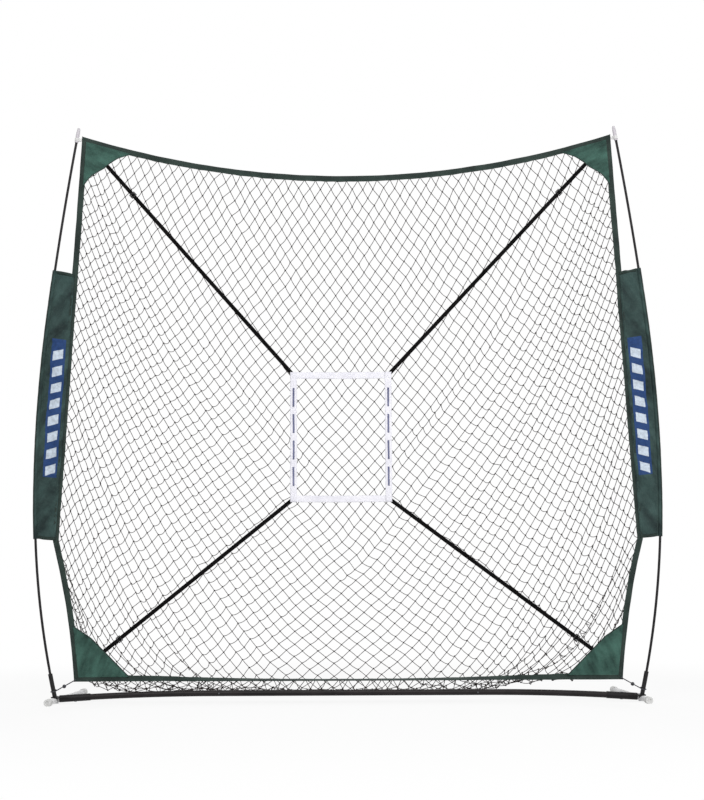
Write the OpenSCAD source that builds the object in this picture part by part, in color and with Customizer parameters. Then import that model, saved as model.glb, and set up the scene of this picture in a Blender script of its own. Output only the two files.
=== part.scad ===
// Pitching target net: a free-standing practice net. A three-piece steel base bar stands on two folding feet.
// Two bowed fibreglass poles hold a slack diamond net in a fabric border, and four straps hang a strike zone.
// X runs along the base bar, +Y points behind the net, +Z is up, and the floor is z = 0.

/* [Base bar] */
// Outer diameter of the base bar
bar_d = 22; // [19:0.5:25]
// Wall of the base bar
bar_wall = 1.2; // [1:0.1:1.6]
// Half the length of the centre section of the bar
bar_half = 506; // [350:1:600]
// Height of the centre section's axis
bar_height = 37; // [36:0.5:70]
// Slope of each outer section where it meets its foot, in degrees
bar_fall = 3.7; // [2:0.1:4]
// Length of a spigot inside the centre section
spigot_in = 60; // [45:1:100]
// Length of a spigot inside an outer section
spigot_out = 40; // [30:1:60]
// Radial clearance of the spigots
spigot_gap = 0.2; // [0.15:0.05:0.4]
// Distance of the bar's outer end from the middle
bar_end_x = 1060; // [950:1:1150]

/* [Snap buttons] */
// Diameter of the snap button
button_d = 6; // [5:0.5:7]
// How far the button stands out of the bar
button_proud = 2; // [1:0.25:3]

/* [Corner brackets] */
// Length of the sleeve that takes the bar's end
sleeve_len = 110; // [70:1:160]
// Wall of the sleeve
sleeve_wall = 1.6; // [1.2:0.1:2.4]
// Radial clearance of the slightly curved bar in the straight sleeve
sleeve_gap = 0.3; // [0.25:0.05:0.5]
// Thickness of the plate over the foot
plate_t = 4; // [3:0.5:6]
// Diameter of the rivet that holds the bar in its sleeve
rivet_d = 5; // [4:0.5:6]

/* [Folding feet] */
// Outer diameter of the foot tube
leg_d = 19; // [16:0.5:22]
// Wall of the foot tube
leg_wall = 1.2; // [1:0.1:2]
// Length of the foot in front of its pivot
leg_front = 130; // [90:1:220]
// Length of the foot behind its pivot
leg_rear = 405; // [300:1:520]
// Angle that the feet point inwards at the back
leg_toe = 5; // [0:0.5:8]
// Distance of the pivot beyond the bar's end
leg_out = 18; // [16:0.5:24]
// Distance of the pivot behind the base bar
leg_pivot_back = 24; // [23.5:0.5:35]
// Diameter of the pivot pin
pin_d = 8; // [6:0.5:10]
// Radial running clearance of the foot on its pin
pin_gap = 0.05; // [0.02:0.01:0.1]
// Outer diameter of the end caps
cap_d = 26; // [24.5:0.5:27]
// Length of the end caps
cap_len = 30; // [20:1:45]

/* [Poles] */
// Distance of the pole's foot beyond the bar's end
pole_out = 22; // [18:0.5:26]
// Outer diameter of the pole
pole_d = 9.5; // [8:0.5:11]
// Bore of the pole
pole_bore = 5.5; // [4:0.5:6]
// Length of one of the three sections
section_len = 712; // [500:1:800]
// Outward lean of the pole in its socket, in degrees
pole_lean = 13; // [8:0.1:15]
// Bend of the lower section, in degrees
bend_lower = 12.6; // [6:0.1:15]
// Bend of the middle section, in degrees
bend_middle = 7.2; // [4:0.1:10]
// Bend of the upper section, in degrees
bend_upper = 3; // [1:0.1:6]
// Depth of the socket
socket_len = 82; // [50:1:120]
// Outer diameter of the socket
socket_d = 16; // [14:0.5:20]
// Radial clearance of the pole in its socket and tip
pole_gap = 0.1; // [0.05:0.05:0.3]
// Radial clearance of the curved pole in the straight ferrules
ferrule_gap = 0.45; // [0.4:0.05:0.6]
// Length of a ferrule
ferrule_len = 90; // [60:1:140]
// Outer diameter of a ferrule
ferrule_d = 12.5; // [11.5:0.5:14]
// Diameter of the shock cord
shock_d = 3; // [2:0.5:3.5]
// Length of the pole tip, from its mouth to its end
tip_len = 56; // [40:1:80]
// Outer diameter of the pole tip at its mouth
tip_d = 14; // [12.5:0.5:16]

/* [Net border] */
// Distance of the net's top corners from the ends of the poles, sideways
net_top_in = 15.4; // [14:0.1:40]
// Distance of the net's top corners below the ends of the poles
net_top_down = 15.6; // [12:0.1:20]
// Distance of the net's bottom corners from the feet of the poles
net_bottom_in = 71; // [60:1:120]
// Distance of the border from the poles where it is widest, under the side panels
net_wide_in = 64.1; // [50:0.1:100]
// Height of the bottom edge
net_bottom_z = 81; // [75:1:140]
// Droop of the top edge in the middle
top_droop = 158; // [40:1:220]
// Draw-in of the border below its widest height
side_draw = 12; // [0:1:25]
// Width of the border band
band_w = 22; // [16:1:30]
// Thickness of the border band
band_t = 3; // [2:0.5:4]

/* [Net] */
// Number of full diamonds across and down
net_cells = 10; // [6:1:11]
// Width of a strand of the net
strand_w = 6; // [4:0.5:8]
// Thickness of the net
net_t = 2.4; // [1.6:0.1:3]
// How far the bag of the net reaches back
bag_depth = 300; // [120:5:360]
// Lowest height of the bag
bag_low = 40; // [34:1:60]

/* [Fabric] */
// Thickness of the corner patches
patch_t = 1.8; // [1:0.1:2.5]
// Length of a top corner patch along the border
patch_top = 176; // [150:1:300]
// Length of a bottom corner patch along the border
patch_bottom = 190; // [150:1:300]
// Thickness of the side panels
panel_t = 2; // [1:0.25:3]
// Distance up the pole at which the side panel starts
panel_start = 582; // [500:1:640]
// Distance up the pole at which the side panel ends
panel_end = 1596; // [1480:1:1700]
// Thickness of the sleeve that the pole runs in
panel_sleeve_t = 1.2; // [0.8:0.1:2]
// Width of the loops that hold the net on the pole tips
loop_w = 12; // [8:1:16]

/* [Bottom corner loops] */
// Diameter of the elastic cord
bungee_d = 4; // [3:0.5:5]
// Diameter of the ball on the cord
ball_d = 14; // [12:1:20]
// Distance up the socket at which the cord goes round it
bungee_up = 16; // [12:1:30]

/* [Strike zone] */
// Outer width of the strike zone
zone_w = 380; // [300:1:480]
// Outer height of the strike zone
zone_h = 488; // [380:1:660]
// Height of the middle of the strike zone
zone_z = 982; // [880:1:1080]
// Sideways place of the strike zone, as the straps are set
zone_x = -24; // [-60:1:60]
// Width of the webbing
webbing_w = 25; // [20:1:38]
// Thickness of the webbing
webbing_t = 2; // [1:0.5:3]
// Width of a strap
strap_w = 15; // [10:1:20]
// Thickness of a strap
strap_t = 1.5; // [1:0.25:2]
// Distance of a top slider from its corner patch
slider_top = 150; // [90:1:200]
// Distance of a bottom slider from its corner patch
slider_bottom = 70; // [66:1:200]
// Clearance between a slider and its strap
slider_gap = 0.3; // [0.2:0.05:0.5]

/* [Hidden] */
$fn = 48;
LEFT = -1;
RIGHT = 1;
TOP = 1;
BOTTOM = -1;
SHALLOW = 1440;  // $fn of the long shallow arcs
touch = 0.3;     // gap between pieces that lie on each other without a fit
cut = 1;         // how far a cut runs past what it cuts

// The feet and the poles stand just beyond the ends of the base bar.
leg_pivot_x = bar_end_x + leg_out;
pole_x = bar_end_x + pole_out;

// The feet reach from the front to the back of the whole thing, so they set where its middle is.
plane_y = -leg_pivot_back - (leg_rear - leg_front) * cos(leg_toe) / 2;
pivot_y = plane_y + leg_pivot_back;

// Feet
cap_flat = 0.8;  // the end caps are cut flat by this much where they stand
leg_z = cap_d / 2 - cap_flat;
leg_top = leg_z + leg_d / 2;
plate_z = leg_top + touch;
plate_top = plate_z + plate_t;
cap_seat = 4;    // end wall of a cap
pin_head_t = 1.8;
pin_head_d = pin_d + 6;

// Base bar
bar_r = bar_d / 2;
bar_bore_r = bar_r - bar_wall;
spigot_r = bar_bore_r - spigot_gap;
spigot_bore_r = spigot_r - bar_wall;
curve_r = (bar_end_x - bar_half) / sin(bar_fall);
outer_len = curve_r * bar_fall * PI / 180;
button_x = bar_half - spigot_in / 2;
button_gap = 0.1;
flange_t = 1;
flange_r = button_d / 2 + 1.2;
flange_top = sqrt(pow(spigot_bore_r, 2) - pow(flange_r, 2)) - touch;
spring_t = 0.6;
spring_w = 5;
spring_len = 24;

// Bracket
sleeve_bore_r = bar_r + sleeve_gap;
sleeve_r = sleeve_bore_r + sleeve_wall;
sleeve_end_t = 3;
plate_margin = 15;
rivet_head_t = 1.5;

// Poles: s is the distance along the pole from the bottom of its socket
pole_foot_z = plate_top + 4;
pole_r = pole_d / 2;
socket_bore_r = pole_r + pole_gap;
bends = [bend_lower, bend_middle, bend_upper];
pole_len = len(bends) * section_len;
tip_cover = 40;  // how much of the pole the tip covers
tip_top_d = 10;
shock_foot = 5;  // where the shock cord ends above the bottom of the pole
sleeve_in_r = ferrule_d / 2 + touch;
sleeve_out_r = sleeve_in_r + panel_sleeve_t;
panel_drop = 15; // the panel's top edge falls by this much from the pole to the border
panel_dip = 5.8; // and its bottom edge by this much
loop_down = 28;  // how far the net's top loop sits below the end of the pole
cord_thin = 0.9; // the stretched part of the elastic cord is thinner
ball_along = 0.6;

// Corners of the net, and its widest place where the side panels start
net_top_x = pole_at(pole_len)[0] - net_top_in;
net_top_z = pole_at(pole_len)[1] - net_top_down;
net_bottom_x = pole_x - net_bottom_in;
net_wide_z = pole_at(panel_start)[1] - panel_dip;
net_wide_x = pole_x_at(net_wide_z) - net_wide_in;

// Layers of the net, measured from the plane of the frame, negative in front
band_front = -band_t / 2;
band_back = band_t / 2;
patch_front = band_front - patch_t;
strap_back = band_front + strap_t;
zone_back_front = band_front - webbing_t;
zone_front_front = zone_back_front - webbing_t;
net_edge_y = band_back + touch + net_t / 2;
net_edge_in = band_w / 2;
patch_lap = 6;   // how far a patch lies on the border band
patch_in = band_w - patch_lap;
// inner edge of the top and bottom patches between the border's bands, as shares of the patch's length
patch_cut = [[[0.69, 0.375], [0.5, 0.5], [0.42, 0.58], [0.114, 0.76]], [[0.75, 0.25], [0.25, 0.75]]];

// Strike zone and straps
strap_inset = 14;   // strap's end from the corner of the zone
strap_lap = 28;     // how far a strap runs behind its patch
slider_w = strap_w + 9;
slider_len = 18;
slider_t = strap_t + 3.5;

// Bag of the net: a curve in Y and Z from the bottom edge (0) to the top edge (1)
bag_under = 0.77 * bag_depth;
bag_belly = 1.87 * bag_depth;
bag_dip = net_bottom_z - 6.4 * (net_bottom_z - bag_low);
bag_belly_z = 500;
bag_side = 2.5;  // how square the bag is from side to side
net_steps = 2 * net_cells;
net_unit = 2 * net_top_x / net_steps;
knot = strand_w / sqrt(2) / net_unit;
rim = strand_w / net_unit;

// ---- pole curve: each section is one arc ----
function arc_a(k) = k == 0 ? pole_lean : arc_a(k - 1) - bends[k - 1];
function arc_r(k) = section_len / bends[k] * 180 / PI;
function run(k, s) = let (a = arc_a(k), b = bends[k] * s / section_len)
    arc_r(k) * [cos(a - b) - cos(a), sin(a) - sin(a - b)];
function arc_p(k) = k == 0 ? [pole_x, pole_foot_z] : arc_p(k - 1) + run(k - 1, section_len);
function arc_of(s) = min(max(floor(s / section_len), 0), len(bends) - 1);
function lean_at(s) = let (k = arc_of(s)) arc_a(k) - bends[k] * (s / section_len - k);
function pole_at(s) = let (k = arc_of(s)) arc_p(k) + run(k, s - k * section_len);
function pole_x_at(z) = let (k = z < arc_p(1)[1] ? 0 : z < arc_p(2)[1] ? 1 : 2,
                             a = asin(sin(arc_a(k)) - (z - arc_p(k)[1]) / arc_r(k)))
    arc_p(k)[0] + arc_r(k) * (cos(a) - cos(arc_a(k)));

// ---- border outline ----
function side_x(z) = z >= net_wide_z
    ? net_top_x + (net_wide_x - net_top_x) * (net_top_z - z) / (net_top_z - net_wide_z)
    : let (t = (z - net_bottom_z) / (net_wide_z - net_bottom_z))
      net_bottom_x + (net_wide_x - net_bottom_x) * t - 4 * side_draw * t * (1 - t);
function top_z(x) = net_top_z - top_droop * (1 - pow(x / net_top_x, 2));

// ---- bag of the net ----
function bezier(t, a, b, c, d) =
    a * pow(1 - t, 3) + 3 * b * pow(1 - t, 2) * t + 3 * c * (1 - t) * pow(t, 2) + d * pow(t, 3);
function edge_z(x, v) = let (low = net_bottom_z + net_edge_in)
    low + v * (top_z(x) - net_edge_in - low);
function flat_at(u, v) =
    let (z1 = edge_z(u * (net_top_x - net_edge_in), v), x1 = u * (side_x(z1) - net_edge_in),
         z2 = edge_z(x1, v))
    [u * (side_x(z2) - net_edge_in), z2];
function sheet_at(i, j) =
    let (u = 2 * i / net_steps - 1, v = j / net_steps, p = flat_at(u, v),
         w = 1 - pow(abs(u), bag_side),
         z_mid = bezier(v, edge_z(0, 0), bag_dip, bag_belly_z, edge_z(0, 1)))
    [p[0], plane_y + net_edge_y + w * bezier(v, 0, bag_under, bag_belly, 0), p[1] + w * (z_mid - edge_z(0, v))];
function unit(a) = a / norm(a);
function normal_at(i, j) = let (e = 0.05)
    unit(cross(sheet_at(min(i + e, net_steps), j) - sheet_at(max(i - e, 0), j),
               sheet_at(i, min(j + e, net_steps)) - sheet_at(i, max(j - e, 0))));
function inner(i) = min(max(i, rim), net_steps - rim);
// corners of a knot: the four that it shares with the gaps, then those at the rim of the net
N = 0;
E = 1;
S = 2;
W = 3;
RIM_N = 4;
RIM_E = 5;
RIM_S = 6;
RIM_W = 7;
RIM_C = 8;
function corner_at(i, j, k) = let (a = inner(i), b = inner(j))
    [[a, b + knot], [a + knot, b], [a, b - knot], [a - knot, b],
     [i, b + knot], [a + knot, j], [i, b - knot], [a - knot, j], [i, j]][k];
function is_knot(i, j) = (i + j) % 2 == 0;
function knot_no(i, j) = floor(j / 2) * (net_steps + 1) + j % 2 * (net_steps / 2 + 1) + floor(i / 2);
function id(i, j, k) = 9 * knot_no(i, j) + k;
function net_points(layer) = [
    for (j = [0:net_steps], i = [0:net_steps]) if (is_knot(i, j)) for (k = [N:RIM_C])
        let (c = corner_at(i, j, k), p = [min(max(c[0], 0), net_steps), min(max(c[1], 0), net_steps)])
        sheet_at(p[0], p[1]) + layer * net_t / 2 * normal_at(p[0], p[1])
];
// the corners round each knot, anticlockwise as seen from the front
function knot_ring(i, j) = let (l = i == 0, r = i == net_steps, b = j == 0, t = j == net_steps)
    l && b ? [RIM_C, RIM_E, E, N, RIM_N] : r && b ? [RIM_C, RIM_N, N, W, RIM_W]
    : r && t ? [RIM_C, RIM_W, W, S, RIM_S] : l && t ? [RIM_C, RIM_S, S, E, RIM_E]
    : l ? [RIM_S, S, E, N, RIM_N] : r ? [RIM_N, N, W, S, RIM_S]
    : b ? [RIM_E, E, N, W, RIM_W] : t ? [RIM_W, W, S, E, RIM_E] : [E, N, W, S];
// a strand from knot a to knot b, with the corners that it takes from each: two long sides are open
function strand(a, b, c) = [id(a[0], a[1], c[0]), id(b[0], b[1], c[1]), id(b[0], b[1], c[2]), id(a[0], a[1], c[3])];
function strands() = let (m = net_steps) concat(
    [for (j = [0:m - 1], i = [0:m - 1]) if (is_knot(i, j)) strand([i, j], [i + 1, j + 1], [E, S, W, N])],
    [for (j = [0:m - 1], i = [1:m]) if (is_knot(i, j)) strand([i, j], [i - 1, j + 1], [N, E, S, W])],
    [for (j = [0:2:m - 2]) strand([0, j + 2], [0, j], [RIM_S, RIM_N, N, S])],
    [for (j = [0:2:m - 2]) strand([m, j], [m, j + 2], [RIM_N, RIM_S, S, N])],
    [for (i = [0:2:m - 2]) strand([i, 0], [i + 2, 0], [RIM_E, RIM_W, W, E])],
    [for (i = [0:2:m - 2]) strand([i + 2, m], [i, m], [RIM_W, RIM_E, E, W])]);
function rings() = [for (j = [0:net_steps], i = [0:net_steps]) if (is_knot(i, j))
    [for (k = knot_ring(i, j)) id(i, j, k)]];
// the rim's sides of the knots that lie on it
function rim_sides() = let (m = net_steps) concat(
    [for (j = [2:2:m - 2]) [id(0, j, RIM_N), id(0, j, RIM_S)]],
    [for (j = [2:2:m - 2]) [id(m, j, RIM_S), id(m, j, RIM_N)]],
    [for (i = [2:2:m - 2]) [id(i, 0, RIM_W), id(i, 0, RIM_E)]],
    [for (i = [2:2:m - 2]) [id(i, m, RIM_E), id(i, m, RIM_W)]],
    [for (c = [[0, 0, RIM_E, RIM_N], [m, 0, RIM_N, RIM_W], [m, m, RIM_W, RIM_S], [0, m, RIM_S, RIM_E]])
        for (e = [[RIM_C, c[2]], [c[3], RIM_C]]) [id(c[0], c[1], e[0]), id(c[0], c[1], e[1])]]);
function fan(f) = [for (k = [1:len(f) - 2]) [f[0], f[k], f[k + 1]]];
function flipped(f) = [f[0], f[2], f[1]];

// ---- helpers ----
module on_side(side) {
    mirror([side == LEFT ? 1 : 0, 0, 0]) children();
}

module ring(r_out, r_in) {
    difference() {
        circle(r_out);
        circle(r_in);
    }
}

// extrudes a 2D section along the right pole from s0 to s1, one solid for each arc, gap apart
module along_pole(s0, s1, gap = 0) {
    for (k = [0:len(bends) - 1]) {
        low = max(s0, k * section_len + gap / 2);
        high = min(s1, (k + 1) * section_len - gap / 2);
        if (high > low) at_pole(low) translate([-arc_r(k), 0, 0]) rotate([90, 0, 0])
            rotate_extrude(angle = bends[k] * (high - low) / section_len, $fn = SHALLOW)
                translate([arc_r(k), 0]) children();
    }
}

// puts a straight piece with its z axis along the right pole at s
module at_pole(s) {
    p = pole_at(s);
    translate([p[0], plane_y, p[1]]) rotate([0, lean_at(s), 0]) children();
}

// puts a piece with its z axis along the outer section of the right base bar, d past the bar's joint
module at_bar(d) {
    a = bar_fall * d / outer_len;
    translate([bar_half + curve_r * sin(a), plane_y, bar_height - curve_r * (1 - cos(a))])
        rotate([0, 90 + a, 0]) children();
}

// puts a piece with its z axis along the foot, pointing backwards, at the pivot
module at_leg() {
    translate([leg_pivot_x, pivot_y, leg_z]) rotate([0, 0, leg_toe]) rotate([-90, 0, 0]) children();
}

// a thin plate in the plane of the frame: its outline is in X and Z, from y0 to y1 behind the plane
module layer(y0, y1) {
    translate([0, plane_y + y1, 0]) rotate([90, 0, 0]) linear_extrude(y1 - y0) children();
}

// a round rod between two points
module rod(p, q, d) {
    v = q - p;
    translate(p) rotate([0, acos(v[2] / norm(v)), atan2(v[1], v[0])]) cylinder(h = norm(v), d = d);
}

// ---- base ----
module bar_centre() color("#231f21") {
    difference() {
        translate([-bar_half, plane_y, bar_height]) rotate([0, 90, 0]) linear_extrude(2 * bar_half)
            ring(bar_r, bar_bore_r);
        for (x = [-button_x, button_x])
            translate([x, plane_y, bar_height]) rotate([90, 0, 0]) cylinder(h = bar_d, r = button_d / 2 + button_gap);
    }
}

module bar_outer(side) color("#231f21") on_side(side) {
    difference() {
        translate([bar_half, plane_y, bar_height - curve_r]) rotate([90, 0, 0]) rotate([0, 0, 90 - bar_fall])
            rotate_extrude(angle = bar_fall, $fn = SHALLOW) translate([curve_r, 0]) ring(bar_r, bar_bore_r);
        at_bar(outer_len - sleeve_len / 2) rotate([0, 90, 0])
            cylinder(h = bar_d + 2 * cut, d = rivet_d, center = true);
    }
}

module bar_spigot(side) color("#8f9196") on_side(side) {
    difference() {
        translate([bar_half - spigot_in, plane_y, bar_height]) rotate([0, 90, 0])
            linear_extrude(spigot_in + spigot_out) ring(spigot_r, spigot_bore_r);
        translate([button_x, plane_y, bar_height]) rotate([90, 0, 0])
            cylinder(h = bar_d, r = button_d / 2 + button_gap);
    }
}

module snap_button(side) color("#c9c9cc") on_side(side) {
    translate([button_x, plane_y, bar_height]) rotate([90, 0, 0]) {
        translate([0, 0, flange_top]) cylinder(h = bar_r + button_proud - flange_top, d = button_d);
        translate([0, 0, flange_top - flange_t]) cylinder(h = flange_t, r = flange_r);
    }
}

// a V of flat spring steel: one arm under the button, the other on the far wall of the spigot
module button_spring(side) color("#a9abb0") on_side(side) {
    near = flange_top - flange_t;
    far = sqrt(pow(spigot_bore_r, 2) - pow(spring_w / 2, 2));
    mid = (far - near) / 2;
    curl = 2;
    translate([button_x, plane_y, bar_height]) linear_extrude(spring_w, center = true) polygon([
        [-flange_r, -near], [spring_len, curl - near], [spring_len + curl, mid], [spring_len, far - curl],
        [-flange_r, far], [-flange_r, far - spring_t], [spring_len, far - curl - spring_t],
        [spring_len + curl - spring_t, mid], [spring_len, curl - near + spring_t], [-flange_r, spring_t - near]]);
}

module bar_rivets() color("#8f9196") {
    for (side = [LEFT, RIGHT]) on_side(side) at_bar(outer_len - sleeve_len / 2) rotate([0, 90, 0]) {
        cylinder(h = 2 * sleeve_r, d = rivet_d, center = true);
        for (m = [0, 1]) mirror([0, 0, m]) translate([0, 0, sleeve_r]) cylinder(h = rivet_head_t, d = rivet_d + 4);
    }
}

module bracket(side) color("#1d1b1d") on_side(side) {
    difference() {
        union() {
            at_bar(outer_len - sleeve_len / 2) translate([0, 0, -sleeve_len / 2])
                cylinder(h = sleeve_len + sleeve_end_t, r = sleeve_r);
            translate([bar_end_x - 2 * plate_margin, plane_y - plate_margin, plate_z])
                cube([leg_pivot_x + plate_margin - bar_end_x + 2 * plate_margin, 2 * plate_margin, plate_t]);
            translate([leg_pivot_x, plane_y, plate_z]) translate([-plate_margin, 0, 0])
                cube([2 * plate_margin, leg_pivot_back, plate_t]);
            translate([leg_pivot_x, pivot_y, plate_z]) cylinder(h = plate_t, r = plate_margin);
            intersection() {
                at_pole(-pole_foot_z) cylinder(h = pole_foot_z, d = socket_d);
                translate([pole_x - socket_d, plane_y - socket_d, plate_z])
                    cube([2 * socket_d, 2 * socket_d, socket_d]);
            }
        }
        at_bar(outer_len - sleeve_len / 2) translate([0, 0, -sleeve_len / 2 - cut])
            cylinder(h = sleeve_len + cut, r = sleeve_bore_r);
        translate([leg_pivot_x, pivot_y, plate_z - cut]) cylinder(h = plate_t + 2 * cut, d = pin_d);
        at_bar(outer_len - sleeve_len / 2) rotate([0, 90, 0])
            cylinder(h = 2 * (sleeve_r + cut), d = rivet_d, center = true);
    }
}

module pole_socket(side) color("#161416") on_side(side) {
    along_pole(0, socket_len) ring(socket_d / 2, socket_bore_r);
}

module leg(side) color("#b9bbbd") on_side(side) {
    difference() {
        at_leg() translate([0, 0, -leg_front + cap_seat])
            cylinder(h = leg_front + leg_rear - 2 * cap_seat, d = leg_d);
        at_leg() translate([0, 0, -leg_front]) cylinder(h = leg_front + leg_rear, d = leg_d - 2 * leg_wall);
        translate([leg_pivot_x, pivot_y, 0]) cylinder(h = plate_z, r = pin_d / 2 + pin_gap);
    }
}

// place is the distance of the cap's outer end from the pivot: in front if it is negative
module leg_cap(side, place) color("#c4c4c2") on_side(side) {
    out = sign(place);
    intersection() {
        difference() {
            at_leg() translate([0, 0, place - out * cap_len / 2]) cylinder(h = cap_len, d = cap_d, center = true);
            at_leg() translate([0, 0, place - out * (cap_len / 2 + cap_seat)])
                cylinder(h = cap_len, d = leg_d + 2 * touch / 3, center = true);
            at_leg() translate([0, 0, place]) cylinder(h = cap_seat, d = leg_d - 6, center = true);
        }
        translate([leg_pivot_x - leg_rear, pivot_y - leg_rear - cap_d, 0])
            cube([2 * leg_rear, 2 * (leg_rear + cap_d), 2 * cap_d]);
    }
}

module leg_pin(side) color("#8f9196") on_side(side) {
    translate([leg_pivot_x, pivot_y, 0]) {
        head_z = leg_z - leg_d / 2 - touch - pin_head_t;
        translate([0, 0, head_z]) cylinder(h = pin_head_t, d = pin_head_d);
        translate([0, 0, head_z]) cylinder(h = plate_top - head_z, d = pin_d);
        translate([0, 0, plate_top]) cylinder(h = pin_head_t, d = pin_head_d);
    }
}

// ---- poles ----
module pole_section(side, number) color("#1b191b") on_side(side) {
    along_pole(number * section_len, (number + 1) * section_len) ring(pole_r, pole_bore / 2);
}

module ferrules(side) color("#9da0a5") on_side(side) {
    for (k = [1, 2]) at_pole(k * section_len) translate([0, 0, -ferrule_len / 2])
        linear_extrude(ferrule_len) ring(ferrule_d / 2, pole_r + ferrule_gap);
}

// an eight-sided cord swept along the pole's curve
module shock_cord(side) color("#2b2b2d") on_side(side) {
    rings = 24;
    sides = 8;
    points = [for (n = [0:rings], t = [0:sides - 1])
        let (s = shock_foot + (pole_len - shock_foot) * n / rings, p = pole_at(s), a = lean_at(s),
             u = shock_d / 2 * cos(t * 360 / sides), v = shock_d / 2 * sin(t * 360 / sides))
        [p[0] + u * cos(a), plane_y + v, p[1] - u * sin(a)]];
    skin = [for (n = [0:rings - 1], t = [0:sides - 1])
        let (a = n * sides + t, b = n * sides + (t + 1) % sides)
        for (f = [[a, a + sides, b], [b, a + sides, b + sides]]) f];
    polyhedron(points, concat([[for (t = [0:sides - 1]) t]], skin,
        [[for (t = [sides - 1:-1:0]) rings * sides + t]]));
}

module pole_tip(side) color("#c2bec4") on_side(side) {
    bore = pole_r + pole_gap;
    at_pole(pole_len - tip_cover) rotate_extrude() polygon([
        [bore, 0], [tip_d / 2, 0], [tip_d / 2, tip_cover], [tip_top_d / 2, tip_len], [0, tip_len],
        [0, tip_cover], [bore, tip_cover]]);
}

// ---- net and fabric ----
module outline(inset) {
    zs = [for (n = [0:8]) net_bottom_z + inset + (net_wide_z - net_bottom_z - inset) * n / 8];
    xs = [for (n = [0:28]) 1 - n / 14];
    right = [for (z = zs) [side_x(z) - inset, z]];
    top = [for (k = xs) let (x = k * (net_top_x - inset)) [x, top_z(x) - inset]];
    left = [for (n = [8:-1:0]) [-side_x(zs[n]) + inset, zs[n]]];
    polygon(concat(right, top, left));
}

// the sector between two corners of the border, seen from its middle
module sector(x0, z0, x1, z1) {
    mid = (net_bottom_z + net_top_z) / 2;
    reach = 1.5;
    polygon([[0, mid], [x0 * reach, mid + (z0 - mid) * reach], [x1 * reach, mid + (z1 - mid) * reach]]);
}

module border(x0, z0, x1, z1) color("#2c463c") {
    layer(band_front, band_back) intersection() {
        difference() {
            outline(0);
            outline(band_w);
        }
        sector(x0, z0, x1, z1);
    }
}

// a diamond net: every knot is a small plate whose corners are also the corners of the gaps round it
module net() color("#2a2a2a") {
    front = net_points(1);
    shift = len(front);
    sheet = [for (f = concat(rings(), strands()), t = fan(f)) t];
    sides = concat(rim_sides(), [for (f = strands(), e = [[f[0], f[1]], [f[2], f[3]]]) e]);
    polyhedron(concat(front, net_points(-1)),
        concat([for (t = sheet) flipped(t)],
               [for (t = sheet) [t[0] + shift, t[1] + shift, t[2] + shift]],
               [for (e = sides, t = fan([e[0], e[1], e[1] + shift, e[0] + shift])) t]),
        convexity = 8);
}

function patch_long(end) = end == TOP ? patch_top : patch_bottom;
function patch_x(end) = (end == TOP ? net_top_x : net_bottom_x) - patch_in;
function patch_z(x, end) = end == TOP ? top_z(x) - patch_in : net_bottom_z + patch_in;

module patch(side, end) color("#3c6a5c") on_side(side) {
    long = patch_long(end);
    x0 = patch_x(end);
    z0 = patch_z(x0, end);
    layer(patch_front, band_front) polygon(concat(
        [for (n = [0:4]) let (x = x0 - long * n / 4) [x, patch_z(x, end)]],
        [for (c = patch_cut[end == TOP ? 0 : 1]) [x0 - long * c[0], z0 - end * long * c[1]]],
        [for (n = [4:-1:1]) let (z = z0 - end * long * n / 4) [side_x(z) - patch_in, z]]));
}

module side_panel(side) color("#33494a") on_side(side) {
    n = 24;
    seam_r = (sleeve_in_r + sleeve_out_r) / 2;
    outer = [for (k = [0:n])
        let (s = panel_start + (panel_end - panel_start) * k / n, p = pole_at(s), a = lean_at(s))
        [p[0] - seam_r * cos(a), p[1] + seam_r * sin(a)]];
    high = outer[n][1] - panel_drop;
    layer(-panel_t / 2, panel_t / 2) polygon(concat(outer, [[side_x(high), high], [net_wide_x, net_wide_z]]));
    along_pole(panel_start, panel_end, 2 * touch) ring(sleeve_out_r, sleeve_in_r);
}

module corner_loops() color("#d8d8d6") {
    at = pole_len - loop_down;
    p = pole_at(at);
    r_in = tip_d / 2 + touch;
    for (side = [LEFT, RIGHT]) on_side(side) {
        at_pole(at - loop_w / 2) linear_extrude(loop_w) ring(r_in + panel_sleeve_t, r_in);
        layer(band_front - strap_t, band_front) translate([net_top_x - 14, p[1] - loop_w / 2])
            square([p[0] - net_top_x + 14 - r_in - panel_sleeve_t / 2, loop_w]);
    }
}

// the elastic cord runs straight from the net's corner through its ball to a ring round the socket
cord_y = plane_y + band_front - bungee_d / 2;
cord_ring_r = socket_d / 2 + touch + bungee_d / 2;
cord_from = [net_bottom_x - 8, cord_y, net_bottom_z + 8];
cord_to = let (p = pole_at(bungee_up), a = lean_at(bungee_up))
    [p[0] - cord_ring_r * cos(a), plane_y, p[1] + cord_ring_r * sin(a)];

module bungee_loops() color("#8b8b90") {
    for (side = [LEFT, RIGHT]) on_side(side) {
        at_pole(bungee_up) rotate_extrude() translate([cord_ring_r, 0]) circle(d = bungee_d);
        rod(cord_from, cord_to, cord_thin * bungee_d);
    }
}

module bungee_balls() color("#2a2a30") {
    v = cord_to - cord_from;
    for (side = [LEFT, RIGHT]) on_side(side) translate(cord_from + ball_along * v)
        rotate([0, acos(v[2] / norm(v)), atan2(v[1], v[0])]) rotate_extrude() difference() {
            circle(d = ball_d);
            translate([-ball_d, -ball_d]) square([ball_d + cord_thin * bungee_d / 2 + pole_gap, 2 * ball_d]);
        }
}

// ---- strike zone ----
module zone_level(end) color("#ececf6") {
    layer(zone_back_front, band_front)
        translate([zone_x - zone_w / 2, zone_z + end * (zone_h - webbing_w) / 2 - webbing_w / 2])
            square([zone_w, webbing_w]);
}

module zone_upright(side) color("#dcdcee") {
    layer(zone_front_front, zone_back_front)
        translate([zone_x + side * (zone_w - webbing_w) / 2 - webbing_w / 2, zone_z - zone_h / 2])
            square([webbing_w, zone_h]);
}

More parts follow.
